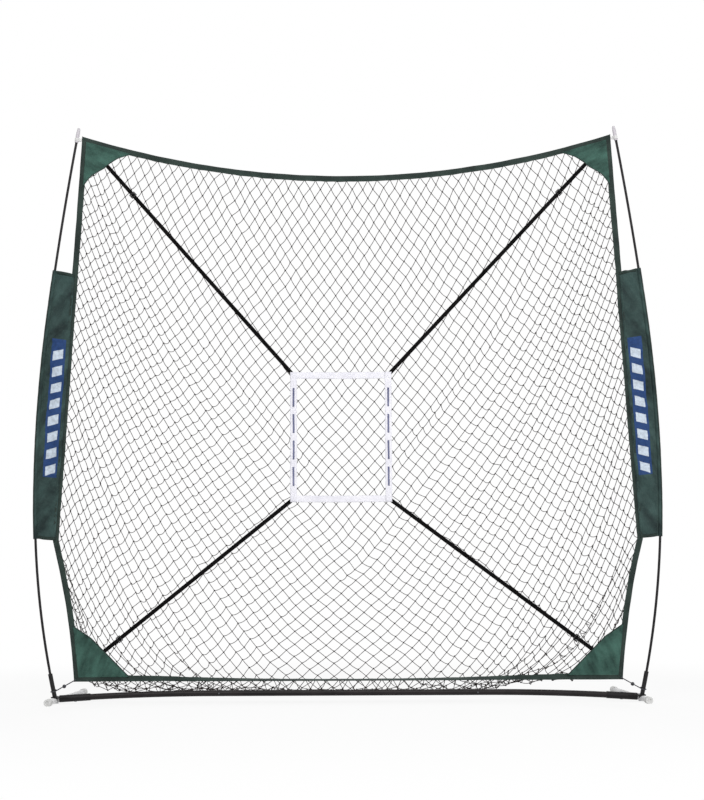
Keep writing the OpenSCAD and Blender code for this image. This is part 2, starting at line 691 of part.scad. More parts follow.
// the strap's two ends and its direction, in X and Z
function strap_from(side, end) =
    [zone_x + side * (zone_w / 2 - strap_inset), zone_z + end * (zone_h / 2 - strap_inset)];
function strap_edge(side, end) =
    let (c = patch_cut[end == TOP ? 0 : 1], n = len(c) / 2, mid = (c[n - 1] + c[n]) / 2, x = patch_x(end))
    [side * (x - patch_long(end) * mid[0]), patch_z(x, end) - end * patch_long(end) * mid[1]];
function strap_dir(side, end) = unit(strap_edge(side, end) - strap_from(side, end));
function slider_place(end) = end == TOP ? slider_top : slider_bottom;

module along_strap(side, end, back) {
    e = strap_edge(side, end) - back * strap_dir(side, end);
    d = strap_dir(side, end);
    translate([e[0], plane_y + band_front, e[1]]) rotate([0, -atan2(d[1], d[0]), 0]) children();
}

module strap(side, end) color("#0f0e0f") {
    long = norm(strap_edge(side, end) - strap_from(side, end));
    along_strap(side, end, long) translate([0, 0, -strap_w / 2]) cube([long + strap_lap, strap_t, strap_w]);
}

module slider(side, end) color("#101010") {
    along_strap(side, end, slider_place(end)) difference() {
        translate([-slider_len / 2, (strap_t - slider_t) / 2, -slider_w / 2]) cube([slider_len, slider_t, slider_w]);
        translate([-slider_len / 2 - cut, -slider_gap, -strap_w / 2 - slider_gap])
            cube([slider_len + 2 * cut, strap_t + 2 * slider_gap, strap_w + 2 * slider_gap]);
    }
}

bar_centre();
bar_outer(LEFT);  // bar_left
bar_outer(RIGHT);  // bar_right
bar_spigot(LEFT);  // bar_spigot_left
bar_spigot(RIGHT);  // bar_spigot_right
bar_rivets();
snap_button(LEFT);  // snap_button_left
snap_button(RIGHT);  // snap_button_right
button_spring(LEFT);  // button_spring_left
button_spring(RIGHT);  // button_spring_right
bracket(LEFT);  // bracket_left
bracket(RIGHT);  // bracket_right
pole_socket(LEFT);  // pole_socket_left
pole_socket(RIGHT);  // pole_socket_right
leg(LEFT);  // leg_left
leg(RIGHT);  // leg_right
leg_pin(LEFT);  // leg_pin_left
leg_pin(RIGHT);  // leg_pin_right
leg_cap(LEFT, -leg_front);  // leg_cap_left_front
leg_cap(LEFT, leg_rear);  // leg_cap_left_rear
leg_cap(RIGHT, -leg_front);  // leg_cap_right_front
leg_cap(RIGHT, leg_rear);  // leg_cap_right_rear
pole_section(LEFT, 0);  // pole_left_lower
pole_section(LEFT, 1);  // pole_left_middle
pole_section(LEFT, 2);  // pole_left_upper
pole_section(RIGHT, 0);  // pole_right_lower
pole_section(RIGHT, 1);  // pole_right_middle
pole_section(RIGHT, 2);  // pole_right_upper
ferrules(LEFT);  // ferrules_left
ferrules(RIGHT);  // ferrules_right
shock_cord(LEFT);  // shock_cord_left
shock_cord(RIGHT);  // shock_cord_right
pole_tip(LEFT);  // pole_tip_left
pole_tip(RIGHT);  // pole_tip_right
net();
border(net_top_x, net_top_z, -net_top_x, net_top_z);  // border_top
border(-net_bottom_x, net_bottom_z, net_bottom_x, net_bottom_z);  // border_bottom
border(-net_top_x, net_top_z, -net_bottom_x, net_bottom_z);  // border_left
border(net_bottom_x, net_bottom_z, net_top_x, net_top_z);  // border_right
patch(LEFT, TOP);  // patch_top_left
patch(RIGHT, TOP);  // patch_top_right
patch(LEFT, BOTTOM);  // patch_bottom_left
patch(RIGHT, BOTTOM);  // patch_bottom_right
side_panel(LEFT);  // side_panel_left
side_panel(RIGHT);  // side_panel_right
corner_loops();
bungee_loops();
bungee_balls();
zone_level(TOP);  // zone_band_top
zone_level(BOTTOM);  // zone_band_bottom
zone_upright(LEFT);  // zone_band_left
zone_upright(RIGHT);  // zone_band_right
strap(LEFT, TOP);  // strap_top_left
strap(RIGHT, TOP);  // strap_top_right
strap(LEFT, BOTTOM);  // strap_bottom_left
strap(RIGHT, BOTTOM);  // strap_bottom_right
slider(LEFT, TOP);  // slider_top_left
slider(RIGHT, TOP);  // slider_top_right
slider(LEFT, BOTTOM);  // slider_bottom_left
slider(RIGHT, BOTTOM);  // slider_bottom_right
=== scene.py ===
"""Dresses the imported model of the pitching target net: twine, green cloth, webbing, paint and plastic."""
import math

import bmesh
import bpy
import numpy as np
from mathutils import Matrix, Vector


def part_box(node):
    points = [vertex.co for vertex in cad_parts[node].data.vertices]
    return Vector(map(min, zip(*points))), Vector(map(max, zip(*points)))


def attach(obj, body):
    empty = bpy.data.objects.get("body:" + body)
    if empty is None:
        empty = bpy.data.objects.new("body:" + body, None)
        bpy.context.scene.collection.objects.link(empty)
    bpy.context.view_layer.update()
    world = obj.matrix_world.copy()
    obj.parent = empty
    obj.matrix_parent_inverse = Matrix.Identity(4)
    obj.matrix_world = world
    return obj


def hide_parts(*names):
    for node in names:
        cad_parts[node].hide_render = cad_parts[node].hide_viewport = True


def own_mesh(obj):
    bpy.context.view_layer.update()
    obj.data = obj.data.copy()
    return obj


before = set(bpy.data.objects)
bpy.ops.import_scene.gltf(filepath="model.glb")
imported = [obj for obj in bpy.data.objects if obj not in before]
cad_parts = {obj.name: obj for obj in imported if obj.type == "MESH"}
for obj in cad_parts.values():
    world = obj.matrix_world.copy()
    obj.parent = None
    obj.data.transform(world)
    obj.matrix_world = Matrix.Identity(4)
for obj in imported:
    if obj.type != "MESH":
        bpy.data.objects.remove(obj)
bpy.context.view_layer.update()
SEED = 7
MM = 0.001
LEFT, RIGHT = -1, 1
TOP, BOTTOM = 1, -1
SIDES = {LEFT: "left", RIGHT: "right"}
ENDS = {TOP: "top", BOTTOM: "bottom"}
FRONT = np.array([0, -1, 0])


# ---- places, worked out from the frame (metres) ----
def node_box(name):
    """Lowest and highest corner of a CAD node."""
    low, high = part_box(name)
    return np.array(low), np.array(high)


border_low, border_high = node_box("border_top")
PLANE_Y = (border_low[1] + border_high[1]) / 2
BAND_W = 22 * MM
TOP_X, TOP_Z = border_high[0], border_high[2]
TOP_DROOP = TOP_Z - (border_low[2] + BAND_W)
BOTTOM_X, BOTTOM_Z = node_box("border_bottom")[1][0], node_box("border_bottom")[0][2]
WIDE_X, WIDE_Z = node_box("border_right")[1][0], node_box("side_panel_right")[0][2]
SIDE_DRAW = 12 * MM

# the right pole's centreline: three arcs of the same length
POLE_X, POLE_FOOT_Z = 1082 * MM, 30 * MM
POLE_SECTION = 712 * MM
POLE_LEAN = 13.0
POLE_BENDS = (12.6, 7.2, 3.0)
POLE_LEN = POLE_SECTION * len(POLE_BENDS)
PANEL_START, PANEL_END = 582 * MM, 1596 * MM
SLEEVE_R = 7.2 * MM
TIP_R = 7 * MM
SOCKET_R = 8 * MM

# corner patches: their length, and their inner edge as shares of it
PATCH_IN = 16 * MM
PATCH_LONG = {TOP: 176 * MM, BOTTOM: 190 * MM}
PATCH_CUT = {TOP: ((0.69, 0.375), (0.5, 0.5), (0.42, 0.58), (0.114, 0.76)),
             BOTTOM: ((0.75, 0.25), (0.25, 0.75))}

WEBBING_W = 25 * MM
STRAP_W = 15 * MM
STRAP_LAP = 28 * MM
STRAP_INSET = 14 * MM
zone_low, zone_high = node_box("zone_band_top")
ZONE_X = (zone_low[0] + zone_high[0]) / 2
ZONE_W = zone_high[0] - zone_low[0]
ZONE_TOP, ZONE_BOTTOM = zone_high[2], node_box("zone_band_bottom")[0][2]
ZONE_Z = (ZONE_TOP + ZONE_BOTTOM) / 2
ZONE_H = ZONE_TOP - ZONE_BOTTOM


def place_name(side, end):
    return f"{ENDS[end]}_{SIDES[side]}"


def side_x(z):
    """Outer edge of the net's side border at height z."""
    z = np.asarray(z, float)
    upper = TOP_X + (WIDE_X - TOP_X) * (TOP_Z - z) / (TOP_Z - WIDE_Z)
    t = (z - BOTTOM_Z) / (WIDE_Z - BOTTOM_Z)
    lower = BOTTOM_X + (WIDE_X - BOTTOM_X) * t - 4 * SIDE_DRAW * t * (1 - t)
    return np.where(z >= WIDE_Z, upper, lower)


def top_z(x):
    """Outer edge of the net's top border at x."""
    return TOP_Z - TOP_DROOP * (1 - (np.asarray(x, float) / TOP_X) ** 2)


def pole_at(s):
    """(x, z, lean in radians) of the right pole's centreline at s along it from its foot."""
    x, z, lean = POLE_X, POLE_FOOT_Z, POLE_LEAN
    for bend in POLE_BENDS:
        part = min(s, POLE_SECTION)
        radius = POLE_SECTION / math.radians(bend)
        a = math.radians(lean)
        b = a - math.radians(bend) * part / POLE_SECTION
        x += radius * (math.cos(b) - math.cos(a))
        z += radius * (math.sin(a) - math.sin(b))
        lean -= bend
        s -= part
        if s <= 0:
            break
    return x, z, b


def pole_frame(s):
    """The right pole's centre at s along it, the way out across it and the way up along it."""
    x, z, lean = pole_at(s)
    out, up = np.array([math.cos(lean), 0, -math.sin(lean)]), np.array([math.sin(lean), 0, math.cos(lean)])
    return np.array([x, PLANE_Y, z]), out, up


def patch_points(end):
    """(x, z) of the right patch's corner at that end, and of its inner edge from level border to side."""
    long = PATCH_LONG[end]
    x0 = (TOP_X if end == TOP else BOTTOM_X) - PATCH_IN

    def level(x):
        return top_z(x) - PATCH_IN if end == TOP else BOTTOM_Z + PATCH_IN + 0 * x
    z0 = level(x0)
    z1 = z0 - end * long
    cuts = [(x0 - long * a, z0 - end * long * b) for a, b in PATCH_CUT[end]]
    edge = [(x0 - long, level(x0 - long)), *cuts, (float(side_x(z1)) - PATCH_IN, z1)]
    return np.array([x0, z0]), np.array(edge, float)


def strap_line(side, end):
    """A strap's start in the zone's corner and its end at the patch's edge, in (x, z)."""
    edge = patch_points(end)[1]
    middle = (edge[len(edge) // 2 - 1] + edge[len(edge) // 2]) / 2
    start = np.array([ZONE_X + side * (ZONE_W / 2 - STRAP_INSET), ZONE_Z + end * (ZONE_H / 2 - STRAP_INSET)])
    return start, middle * [side, 1]


# ---- small maths ----
def unit(v):
    return v / np.maximum(np.linalg.norm(v, axis=-1, keepdims=True), 1e-9)


def smooth(t):
    t = np.clip(t, 0, 1)
    return t * t * (3 - 2 * t)


def ripple(t, count, seed, power=0.6):
    """A smooth random wave over t from 0 to 1, about -1 to 1, with up to count waves."""
    rng = np.random.default_rng(SEED + seed)
    total = np.zeros_like(np.asarray(t, float))
    for k in range(1, count + 1):
        total = total + rng.normal() * k ** -power * np.sin(2 * np.pi * (k * t + rng.random()))
    return total / (1.5 * sum(k ** (-2 * power) for k in range(1, count + 1)) ** 0.5)


def run_along(points):
    """How far along a line of points each of them lies."""
    return np.concatenate([[0], np.cumsum(np.linalg.norm(np.diff(points, axis=0), axis=1))])


def along(points, count):
    """Points spaced evenly along a polyline."""
    points = np.asarray(points, float)
    run = run_along(points)
    at = np.linspace(0, run[-1], count)
    return np.stack([np.interp(at, run, points[:, k]) for k in range(points.shape[1])], 1)


def relaxed(points, times):
    """A smoother line of points, with the same ends."""
    points = points.copy()
    for _ in range(times):
        points[1:-1] = (points[:-2] + 2 * points[1:-1] + points[2:]) / 4
    return points


def at_y(flat, y):
    """Points given as (x, z), as (x, y, z)."""
    return np.stack([flat[..., 0], y + 0 * flat[..., 0], flat[..., 1]], -1)


def bezier(t, a, b, c, d):
    return a * (1 - t) ** 3 + 3 * b * (1 - t) ** 2 * t + 3 * c * (1 - t) * t ** 2 + d * t ** 3


# ---- meshes ----
def add_object(name, data, body=None):
    """A new object, which rides on a body if one is named."""
    added = bpy.data.objects.new(name, data)
    bpy.context.scene.collection.objects.link(added)
    if body:
        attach(added, body)
    return added


def mesh_object(name, points, faces, uvs=None, body="frame"):
    """A smooth mesh from arrays: points (n, 3), faces (m, 3 or 4), uvs one for each corner of each face."""
    faces = np.asarray(faces, np.int32)
    mesh = bpy.data.meshes.new(name)
    mesh.vertices.add(len(points))
    mesh.vertices.foreach_set("co", np.asarray(points, np.float32).ravel())
    mesh.loops.add(faces.size)
    mesh.loops.foreach_set("vertex_index", faces.ravel())
    mesh.polygons.add(len(faces))
    mesh.polygons.foreach_set("loop_start", np.arange(0, faces.size, faces.shape[1], dtype=np.int32))
    mesh.polygons.foreach_set("use_smooth", np.ones(len(faces), bool))
    if uvs is not None:
        layer = mesh.uv_layers.new(name="UVMap")
        layer.data.foreach_set("uv", np.asarray(uvs, np.float32).ravel())
    mesh.update(calc_edges=True)
    mesh.validate()
    return add_object(name, mesh, body)


def mesh_points(mesh):
    """The points of a mesh as an array."""
    points = np.empty(len(mesh.vertices) * 3, np.float32)
    mesh.vertices.foreach_get("co", points)
    return points.reshape(-1, 3)


def grid_faces(rows, columns, closed=False):
    """Quads of a grid of points numbered row by row. closed joins the last column to the first."""
    r = np.arange(rows - 1)[:, None]
    c = np.arange(columns if closed else columns - 1)[None]
    d = (c + 1) % columns
    quads = np.stack([r * columns + c, r * columns + d, (r + 1) * columns + d, (r + 1) * columns + c], -1)
    return quads.reshape(-1, 4)


def repeated(faces, copies, step):
    """The faces of many copies in one mesh, each with step points."""
    return (faces[None] + (np.arange(copies) * step)[:, None, None]).reshape(-1, faces.shape[1])


def grid_object(name, points, uvs):
    """A sheet from a grid of points (rows, columns, 3), with uvs (rows, columns, 2) in metres."""
    rows, columns = points.shape[:2]
    faces = grid_faces(rows, columns)
    return mesh_object(name, points.reshape(-1, 3), faces, uvs.reshape(-1, 2)[faces.ravel()])


def modifier(piece, kind, **settings):
    added = piece.modifiers.new(kind.lower(), kind)
    for name, value in settings.items():
        setattr(added, name, value)
    return added


def thicken(piece, thickness):
    modifier(piece, "SOLIDIFY", thickness=thickness, offset=0)


def tubes(name, paths, radius, sides, twist):
    """Many round strands in one mesh: paths (strands, points, 3). twist is the length of one ply's turn."""
    strands, count = paths.shape[:2]
    tangent = unit(np.gradient(paths, axis=1))
    across = unit(np.cross(tangent, [0.13, 0.97, 0.21]))
    up = np.cross(tangent, across)
    turn = np.arange(sides) * 2 * np.pi / sides
    ring = across[:, :, None] * np.cos(turn)[:, None] + up[:, :, None] * np.sin(turn)[:, None]
    points = paths[:, :, None] + radius * ring
    faces = grid_faces(count, sides, closed=True)
    run = np.cumsum(np.linalg.norm(np.diff(paths, axis=1, prepend=paths[:, :1]), axis=2), axis=1) / twist
    rows = faces // sides
    round_it = (faces % sides) / sides
    round_it[:, 1:3][round_it[:, 1:3] == 0] = 1.0
    uvs = np.stack([run[:, rows], np.broadcast_to(round_it, (strands, *rows.shape))], -1)
    every = repeated(faces, strands, count * sides)
    return mesh_object(name, points.reshape(-1, 3), every, uvs.reshape(-1, 2))


def lumps(name, centres, frames, sizes, sides=6):
    """Many rounded lumps in one mesh: frames (n, 3, 3) holds their axes, sizes (n, 3) their half sizes."""
    rings = 3
    t = np.linspace(0, np.pi, rings + 2)[1:-1]
    turn = np.arange(sides) * 2 * np.pi / sides
    shape = [[np.sin(a) * np.cos(b), np.sin(a) * np.sin(b), np.cos(a)] for a in t for b in turn]
    shape = np.array(shape + [[0, 0, 1], [0, 0, -1]])
    points = centres[:, None] + np.einsum("nvk,nkc->nvc", shape[None] * sizes[:, None], frames)
    quads = grid_faces(rings, sides, closed=True)
    k = np.arange(sides)
    last, pole = (rings - 1) * sides, rings * sides
    top = np.stack([np.full(sides, pole), (k + 1) % sides, k], 1)
    end = np.stack([np.full(sides, pole + 1), last + k, last + (k + 1) % sides], 1)
    tris = np.concatenate([quads[:, [0, 1, 2]], quads[:, [0, 2, 3]], top, end])
    return mesh_object(name, points.reshape(-1, 3), repeated(tris, len(centres), len(shape)))


FINE_THREAD = 0.3 * MM


def stitches(name, runs, pitch=7 * MM, long=4.4 * MM, thick=0.45 * MM):
    """Rows of thread stitches: each run is (points (n, 3), the direction that the cloth faces)."""
    centres, frames = [], []
    for points, facing in runs:
        at = along(points, max(2, int(run_along(points)[-1] / pitch)))
        step = unit(np.gradient(at, axis=0))
        out = unit(np.broadcast_to(np.asarray(facing, float), at.shape) + 0 * at)
        flat = unit(np.cross(step, out))
        centres.append(at + out * thick * 0.4)
        frames.append(np.stack([step, flat, np.cross(step, flat)], 1))
    centres, frames = np.concatenate(centres), np.concatenate(frames)
    sizes = np.broadcast_to(np.array([long / 2, thick, thick]), (len(centres), 3))
    # the long axis comes last, because a lump's poles lie on it
    return lumps(name, centres, frames[:, [1, 2, 0]], sizes[:, [1, 2, 0]], sides=5)


# ---- node materials ----
def rgb(red, green, blue):
    """A colour given as it looks on a screen, 0 to 255, as linear values."""
    def linear(c):
        c /= 255
        return c / 12.92 if c <= 0.04045 else ((c + 0.055) / 1.055) ** 2.4
    return (linear(red), linear(green), linear(blue), 1)


BLACK, WHITE = (0, 0, 0, 1), (1, 1, 1, 1)


class Nodes:
    """A short way to build nodes: of a world, or of a new Principled material where owner is its name."""

    def __init__(self, owner, **sockets):
        self.owner = bpy.data.materials.new(owner) if isinstance(owner, str) else owner
        self.owner.use_nodes = True
        self.tree = self.owner.node_tree
        self.shader = self.tree.nodes.get("Principled BSDF")
        self.to(**sockets)

    def link(self, value, socket):
        """Links a socket's output to another socket, or sets the socket to a plain value."""
        if isinstance(value, bpy.types.NodeSocket):
            self.tree.links.new(value, socket)
        else:
            socket.default_value = value

    def add(self, kind, settings=None, **inputs):
        node = self.tree.nodes.new("ShaderNode" + kind)
        for name, value in (settings or {}).items():
            setattr(node, name, value)
        for name, value in inputs.items():
            self.link(value, node.inputs[name.replace("_", " ")])
        return node

    def out(self, output, kind, settings=None, **inputs):
        """One output of a new node."""
        return self.add(kind, settings, **inputs).outputs[output]

    def coords(self, scale=(1, 1, 1), kind="Object"):
        return self.out("Vector", "Mapping", Vector=self.out(kind, "TexCoord"), Scale=scale)

    def streaks(self, wide, long, turn):
        """UVs in units of a streak of painted crease shade that wide and long, turned by an angle."""
        return self.out("Vector", "Mapping", {"vector_type": "TEXTURE"}, Vector=self.out("UV", "TexCoord"),
                        Scale=(wide, long, 1), Rotation=(0, 0, turn))

    def noise(self, vector, scale, detail, roughness=0.55):
        return self.out("Fac", "TexNoise", Vector=vector, Scale=scale, Detail=detail, Roughness=roughness)

    def wave(self, vector, scale, direction):
        return self.out("Fac", "TexWave", {"bands_direction": direction}, Vector=vector, Scale=scale,
                        Distortion=0.5, Detail=1.0)

    def ramp(self, fac, *stops):
        node = self.add("ValToRGB", Fac=fac)
        elements = node.color_ramp.elements
        while len(elements) < len(stops):
            elements.new(0.5)
        for element, (place, colour) in zip(elements, stops):
            element.position = place
            element.color = colour
        return node.outputs["Color"]

    def maths(self, operation, a, b):
        node = self.add("Math", {"operation": operation})
        self.link(a, node.inputs[0])
        self.link(b, node.inputs[1])
        return node.outputs[0]

    def times(self, value, *factors):
        for factor in factors:
            value = self.maths("MULTIPLY", value, factor)
        return value

    def spread(self, value, share, base):
        """A share of the value on top of a base."""
        return self.maths("ADD", self.times(value, share), base)

    def mix(self, fac, a, b):
        return self.out("Color", "MixRGB", Fac=fac, Color1=a, Color2=b)

    def within(self, value, low, high):
        """1 where the value lies between low and high, else 0."""
        return self.times(self.maths("GREATER_THAN", value, low), self.maths("LESS_THAN", value, high))

    def bump(self, height, strength, distance):
        return self.out("Normal", "Bump", Height=height, Strength=strength, Distance=distance)

    def to(self, **links):
        for socket, source in links.items():
            self.link(source, self.shader.inputs[socket.replace("_", " ")])
        return self.owner

    def finish(self, colour, rough, grain):
        """The material with that colour. rough is what spread takes, and grain what bump takes."""
        return self.to(Base_Color=colour, Roughness=self.spread(*rough), Normal=self.bump(*grain))


def painted_steel(name, dark, light, roughness, wear):
    """Powder coat: fine orange peel, slight changes of shade and a little bare wear where it rubs."""
    n = Nodes(name, Specular_IOR_Level=0.22)
    v = n.coords()
    shade = n.ramp(n.noise(v, 9, 3), (0.35, dark), (0.7, light))
    scuffs = n.ramp(n.noise(n.coords((4, 60, 60)), 14, 5, 0.7), (0.66, BLACK), (0.74, WHITE))
    return n.finish(n.mix(n.times(scuffs, wear), shade, rgb(120, 120, 124)),
                    (n.noise(v, 40, 2), 0.18, roughness), (n.noise(v, 900, 2), 0.12, 0.4 * MM))


def bare_metal(name, colour, roughness, brushed):
    """Zinc or steel with brushing along the piece and faint stains."""
    n = Nodes(name, Metallic=1.0)
    lines = n.noise(n.coords(brushed), 60, 4)
    stain = tuple(c * 0.72 for c in colour[:3]) + (1,)
    return n.finish(n.mix(n.noise(n.coords(), 25, 4), colour, stain), (lines, 0.2, roughness),
                    (lines, 0.08, 0.2 * MM))


def moulded_plastic(name, colour, worn, roughness):
    """Injection-moulded plastic: a fine grain and handling marks."""
    n = Nodes(name, Specular_IOR_Level=0.3)
    v = n.coords()
    marks = n.ramp(n.noise(v, 70, 6, 0.65), (0.45, BLACK), (0.85, WHITE))
    return n.finish(n.mix(marks, colour, worn), (n.noise(v, 120, 3), 0.15, roughness),
                    (n.noise(v, 1400, 2), 0.1, 0.2 * MM))


def fibreglass(name):
    """Pultruded pole: long faint fibre lines under a satin resin."""
    n = Nodes(name, Coat_Weight=0.08, Coat_Roughness=0.3, Specular_IOR_Level=0.2)
    lines = n.noise(n.coords((260, 260, 3)), 3, 4)
    shade = n.ramp(lines, (0.3, rgb(8, 6, 8)), (0.75, rgb(22, 19, 22)))
    return n.finish(shade, (lines, 0.2, 0.32), (lines, 0.1, 0.2 * MM))


WAVE = 0.314   # a wave texture of this scale has one wave in a metre


def cloth(name, dark, light, crease_shade=None, prints=None):
    """Coated nylon cloth: fine weave, cloudy shade and lint.

    Its fourth argument gives the width, length and turn of darker and lighter streaks, which are painted
    shade of its creases; prints adds a design to the colour."""
    n = Nodes(name, Sheen_Weight=0.04, Sheen_Roughness=0.5, Specular_IOR_Level=0.25)
    v = n.coords(kind="UV")
    threads = n.times(n.wave(v, WAVE / (0.7 * MM), "X"), n.wave(v, WAVE / (0.7 * MM), "Y"))
    clouds_and_crease_shade = n.noise(n.coords(), 12, 5)
    # painted shade: slanted streaks mixed into the tone stand for the shade of creases
    if crease_shade:
        clouds_and_crease_shade = n.mix(0.55, clouds_and_crease_shade, n.noise(n.streaks(*crease_shade), 1.0, 3, 0.5))
    shade = n.ramp(clouds_and_crease_shade, (0.38, dark), (0.62, light))
    if prints:
        shade = prints(n, shade)
    lint = n.ramp(n.noise(n.coords(), 320, 4, 0.7), (0.5, BLACK), (0.8, WHITE))
    colour = n.mix(n.times(lint, 0.12), shade, rgb(150, 170, 160))
    return n.finish(n.mix(n.times(threads, 0.2), colour, dark), (threads, 0.15, 0.7),
                    (threads, 0.35, 0.3 * MM))


# a plain blue field with pale slanted bars, at its place along the pole and out from the border
BARS = 8
BAR_PITCH, BAR_SHARE, BAR_SLANT = 62 * MM, 0.56, 0.4
FIELD_START, FIELD_MARGIN = 816 * MM, 8 * MM
FIELD_OUT = (13 * MM, 66 * MM)
FIELD_BLUE, FIELD_PALE = rgb(34, 66, 122), rgb(214, 226, 240)


def barred_field(n, cloth_colour):
    """The print on the front of a side panel."""
    place = n.add("SeparateXYZ", Vector=n.coords(kind="UV")).outputs
    out = place["X"]
    run = n.maths("SUBTRACT", place["Y"], FIELD_START)
    long = (BARS + 1 - BAR_SHARE) * BAR_PITCH
    front = n.maths("LESS_THAN", n.out("Y", "SeparateXYZ", Vector=n.out("Normal", "TexCoord")), 0.0)
    field = n.times(n.within(run, 0.0, long), n.within(out, *FIELD_OUT), front)
    slanted = n.spread(out, BAR_SLANT, run)
    phase = n.maths("SUBTRACT", n.maths("DIVIDE", slanted, BAR_PITCH), 1 - BAR_SHARE)
    bar = n.maths("LESS_THAN", n.maths("FRACT", phase, 0.0), BAR_SHARE)
    middle = n.within(out, FIELD_OUT[0] + FIELD_MARGIN, FIELD_OUT[1] - FIELD_MARGIN)
    bars = n.times(bar, middle, n.within(phase, 0.0, BARS))
    worn = n.ramp(n.noise(n.coords(), 90, 5, 0.7), (0.3, rgb(150, 150, 150)), (0.6, WHITE))
    ink = n.mix(bars, FIELD_BLUE, FIELD_PALE)
    faded = n.out("Color", "MixRGB", {"blend_type": "MULTIPLY"}, Fac=0.5, Color1=ink, Color2=worn)
    return n.mix(n.times(field, 0.93), cloth_colour, faded)


def webbing(name, dark, light, sheen=0.02, shine=0.2):
    """Narrow webbing: a rib along it and picks across it, on UVs in metres."""
    n = Nodes(name, Sheen_Weight=sheen, Sheen_Roughness=0.5, Specular_IOR_Level=shine)
    v = n.coords(kind="UV")
    picks = n.maths("MAXIMUM", n.wave(v, WAVE / (1.2 * MM), "X"), n.wave(v, WAVE / (2.1 * MM), "Y"))
    shade = n.ramp(n.noise(n.coords(), 22, 4), (0.3, dark), (0.7, light))
    return n.finish(n.mix(n.times(picks, 0.25), shade, dark), (picks, 0.1, 0.75), (picks, 0.5, 0.4 * MM))


def twine(name, dark, light):
    """Knotted twine: plies that wind round it, on UVs that run along the strand."""
    n = Nodes(name, Sheen_Weight=0.02, Specular_IOR_Level=0.25)
    plies = n.wave(n.coords((WAVE, 2 * WAVE, 1), kind="UV"), 1.0, "DIAGONAL")
    return n.finish(n.mix(n.noise(n.coords(), 30, 3), dark, light), (plies, 0.1, 0.7),
                    (plies, 0.5, 0.4 * MM))


def thread(name, dark, light):
    """Sewing thread, slightly uneven."""
    n = Nodes(name, Sheen_Weight=0.1)
    return n.to(Base_Color=n.mix(n.noise(n.coords(), 400, 2), dark, light),
                Roughness=n.spread(n.noise(n.coords(), 900, 2), 0.2, 0.6))


MATERIALS = {
    "bar": painted_steel("black_powder_coat", rgb(14, 11, 12), rgb(38, 33, 34), 0.4, 0.18),
    "bracket": painted_steel("black_bracket_coat", rgb(6, 5, 6), rgb(18, 16, 18), 0.42, 0.14),
    "foot": painted_steel("light_grey_coat", rgb(210, 210, 212), rgb(230, 230, 230), 0.4, 0.1),
    "steel": bare_metal("zinc_steel", rgb(170, 172, 176), 0.3, (40, 40, 4)),
    "button": bare_metal("button_steel", rgb(96, 96, 100), 0.4, (30, 4, 30)),
    "spring": bare_metal("spring_steel", rgb(150, 152, 158), 0.3, (4, 40, 40)),
    "socket": moulded_plastic("black_nylon", rgb(6, 5, 6), rgb(20, 18, 20), 0.5),
    "cap": moulded_plastic("grey_cap_plastic", rgb(212, 212, 211), rgb(188, 187, 184), 0.5),
    "tip": moulded_plastic("grey_tip_plastic", rgb(198, 194, 200), rgb(172, 168, 172), 0.42),
    "ball": moulded_plastic("dark_ball_plastic", rgb(38, 38, 44), rgb(62, 62, 70), 0.35),
    "slider": moulded_plastic("black_acetal", rgb(18, 18, 19), rgb(40, 40, 42), 0.42),
    "pole": fibreglass("dark_fibreglass"),
    "twine": twine("black_net_twine", rgb(28, 22, 21), rgb(58, 49, 47)),
    "border": cloth("border_cloth", rgb(22, 34, 31), rgb(42, 56, 51)),
    # the patches and panels carry slanted streaks of painted crease shade in their tone
    "patch": cloth("patch_cloth", rgb(20, 47, 41), rgb(65, 103, 92), crease_shade=(34 * MM, 120 * MM, 0.35)),
    "panel": cloth("panel_cloth", rgb(14, 30, 31), rgb(55, 78, 75), crease_shade=(40 * MM, 170 * MM, 0.55),
                   prints=barred_field),
    # darker than the cloth that it folds from: painted shade along the hems, and along the sleeve's outer
    # side
    "hem": cloth("hem_cloth", rgb(16, 28, 26), rgb(32, 48, 43)),
    "strap": webbing("black_elastic", rgb(2, 2, 2), rgb(20, 18, 19), sheen=0.0, shine=0.08),
    "white": webbing("white_webbing", rgb(228, 227, 236), rgb(244, 243, 249)),
    "dash": webbing("blue_grey_print", rgb(92, 96, 126), rgb(132, 134, 162)),
    "loop": webbing("grey_webbing", rgb(208, 208, 208), rgb(228, 228, 226)),
    "elastic": twine("bungee_sleeve", rgb(46, 46, 52), rgb(88, 88, 94)),
    "dark_thread": thread("green_thread", rgb(40, 66, 56), rgb(84, 116, 102)),
    "pale_thread": thread("white_thread", rgb(206, 206, 222), rgb(236, 236, 244)),
    "black_thread": thread("black_thread", rgb(14, 14, 15), rgb(44, 44, 46)),
}


def paint(piece, kind, node=None):
    """Gives a piece its material, and hides the CAD node that it stands for."""
    piece.data.materials.clear()
    piece.data.materials.append(MATERIALS[kind])
    if node:
        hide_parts(node)
    return piece


NODE_MATERIALS = {
    "bar_spigot": "steel", "bar_rivets": "steel", "bar_": "bar", "bracket": "bracket",
    "snap_button": "button", "leg_cap": "cap", "leg_pin": "steel", "leg_": "foot", "pole_socket": "socket",
    "pole_tip": "tip", "pole_": "pole", "ferrules": "steel", "shock_cord": "socket", "bungee_balls": "ball",
}


def paint_nodes():
    """Gives every CAD node that stays its finish: the first beginning of its name that fits."""
    for name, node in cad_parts.items():
        for beginning, kind in NODE_MATERIALS.items():
            if name.startswith(beginning):
                for slot in node.material_slots:
                    slot.material = MATERIALS[kind]
                break


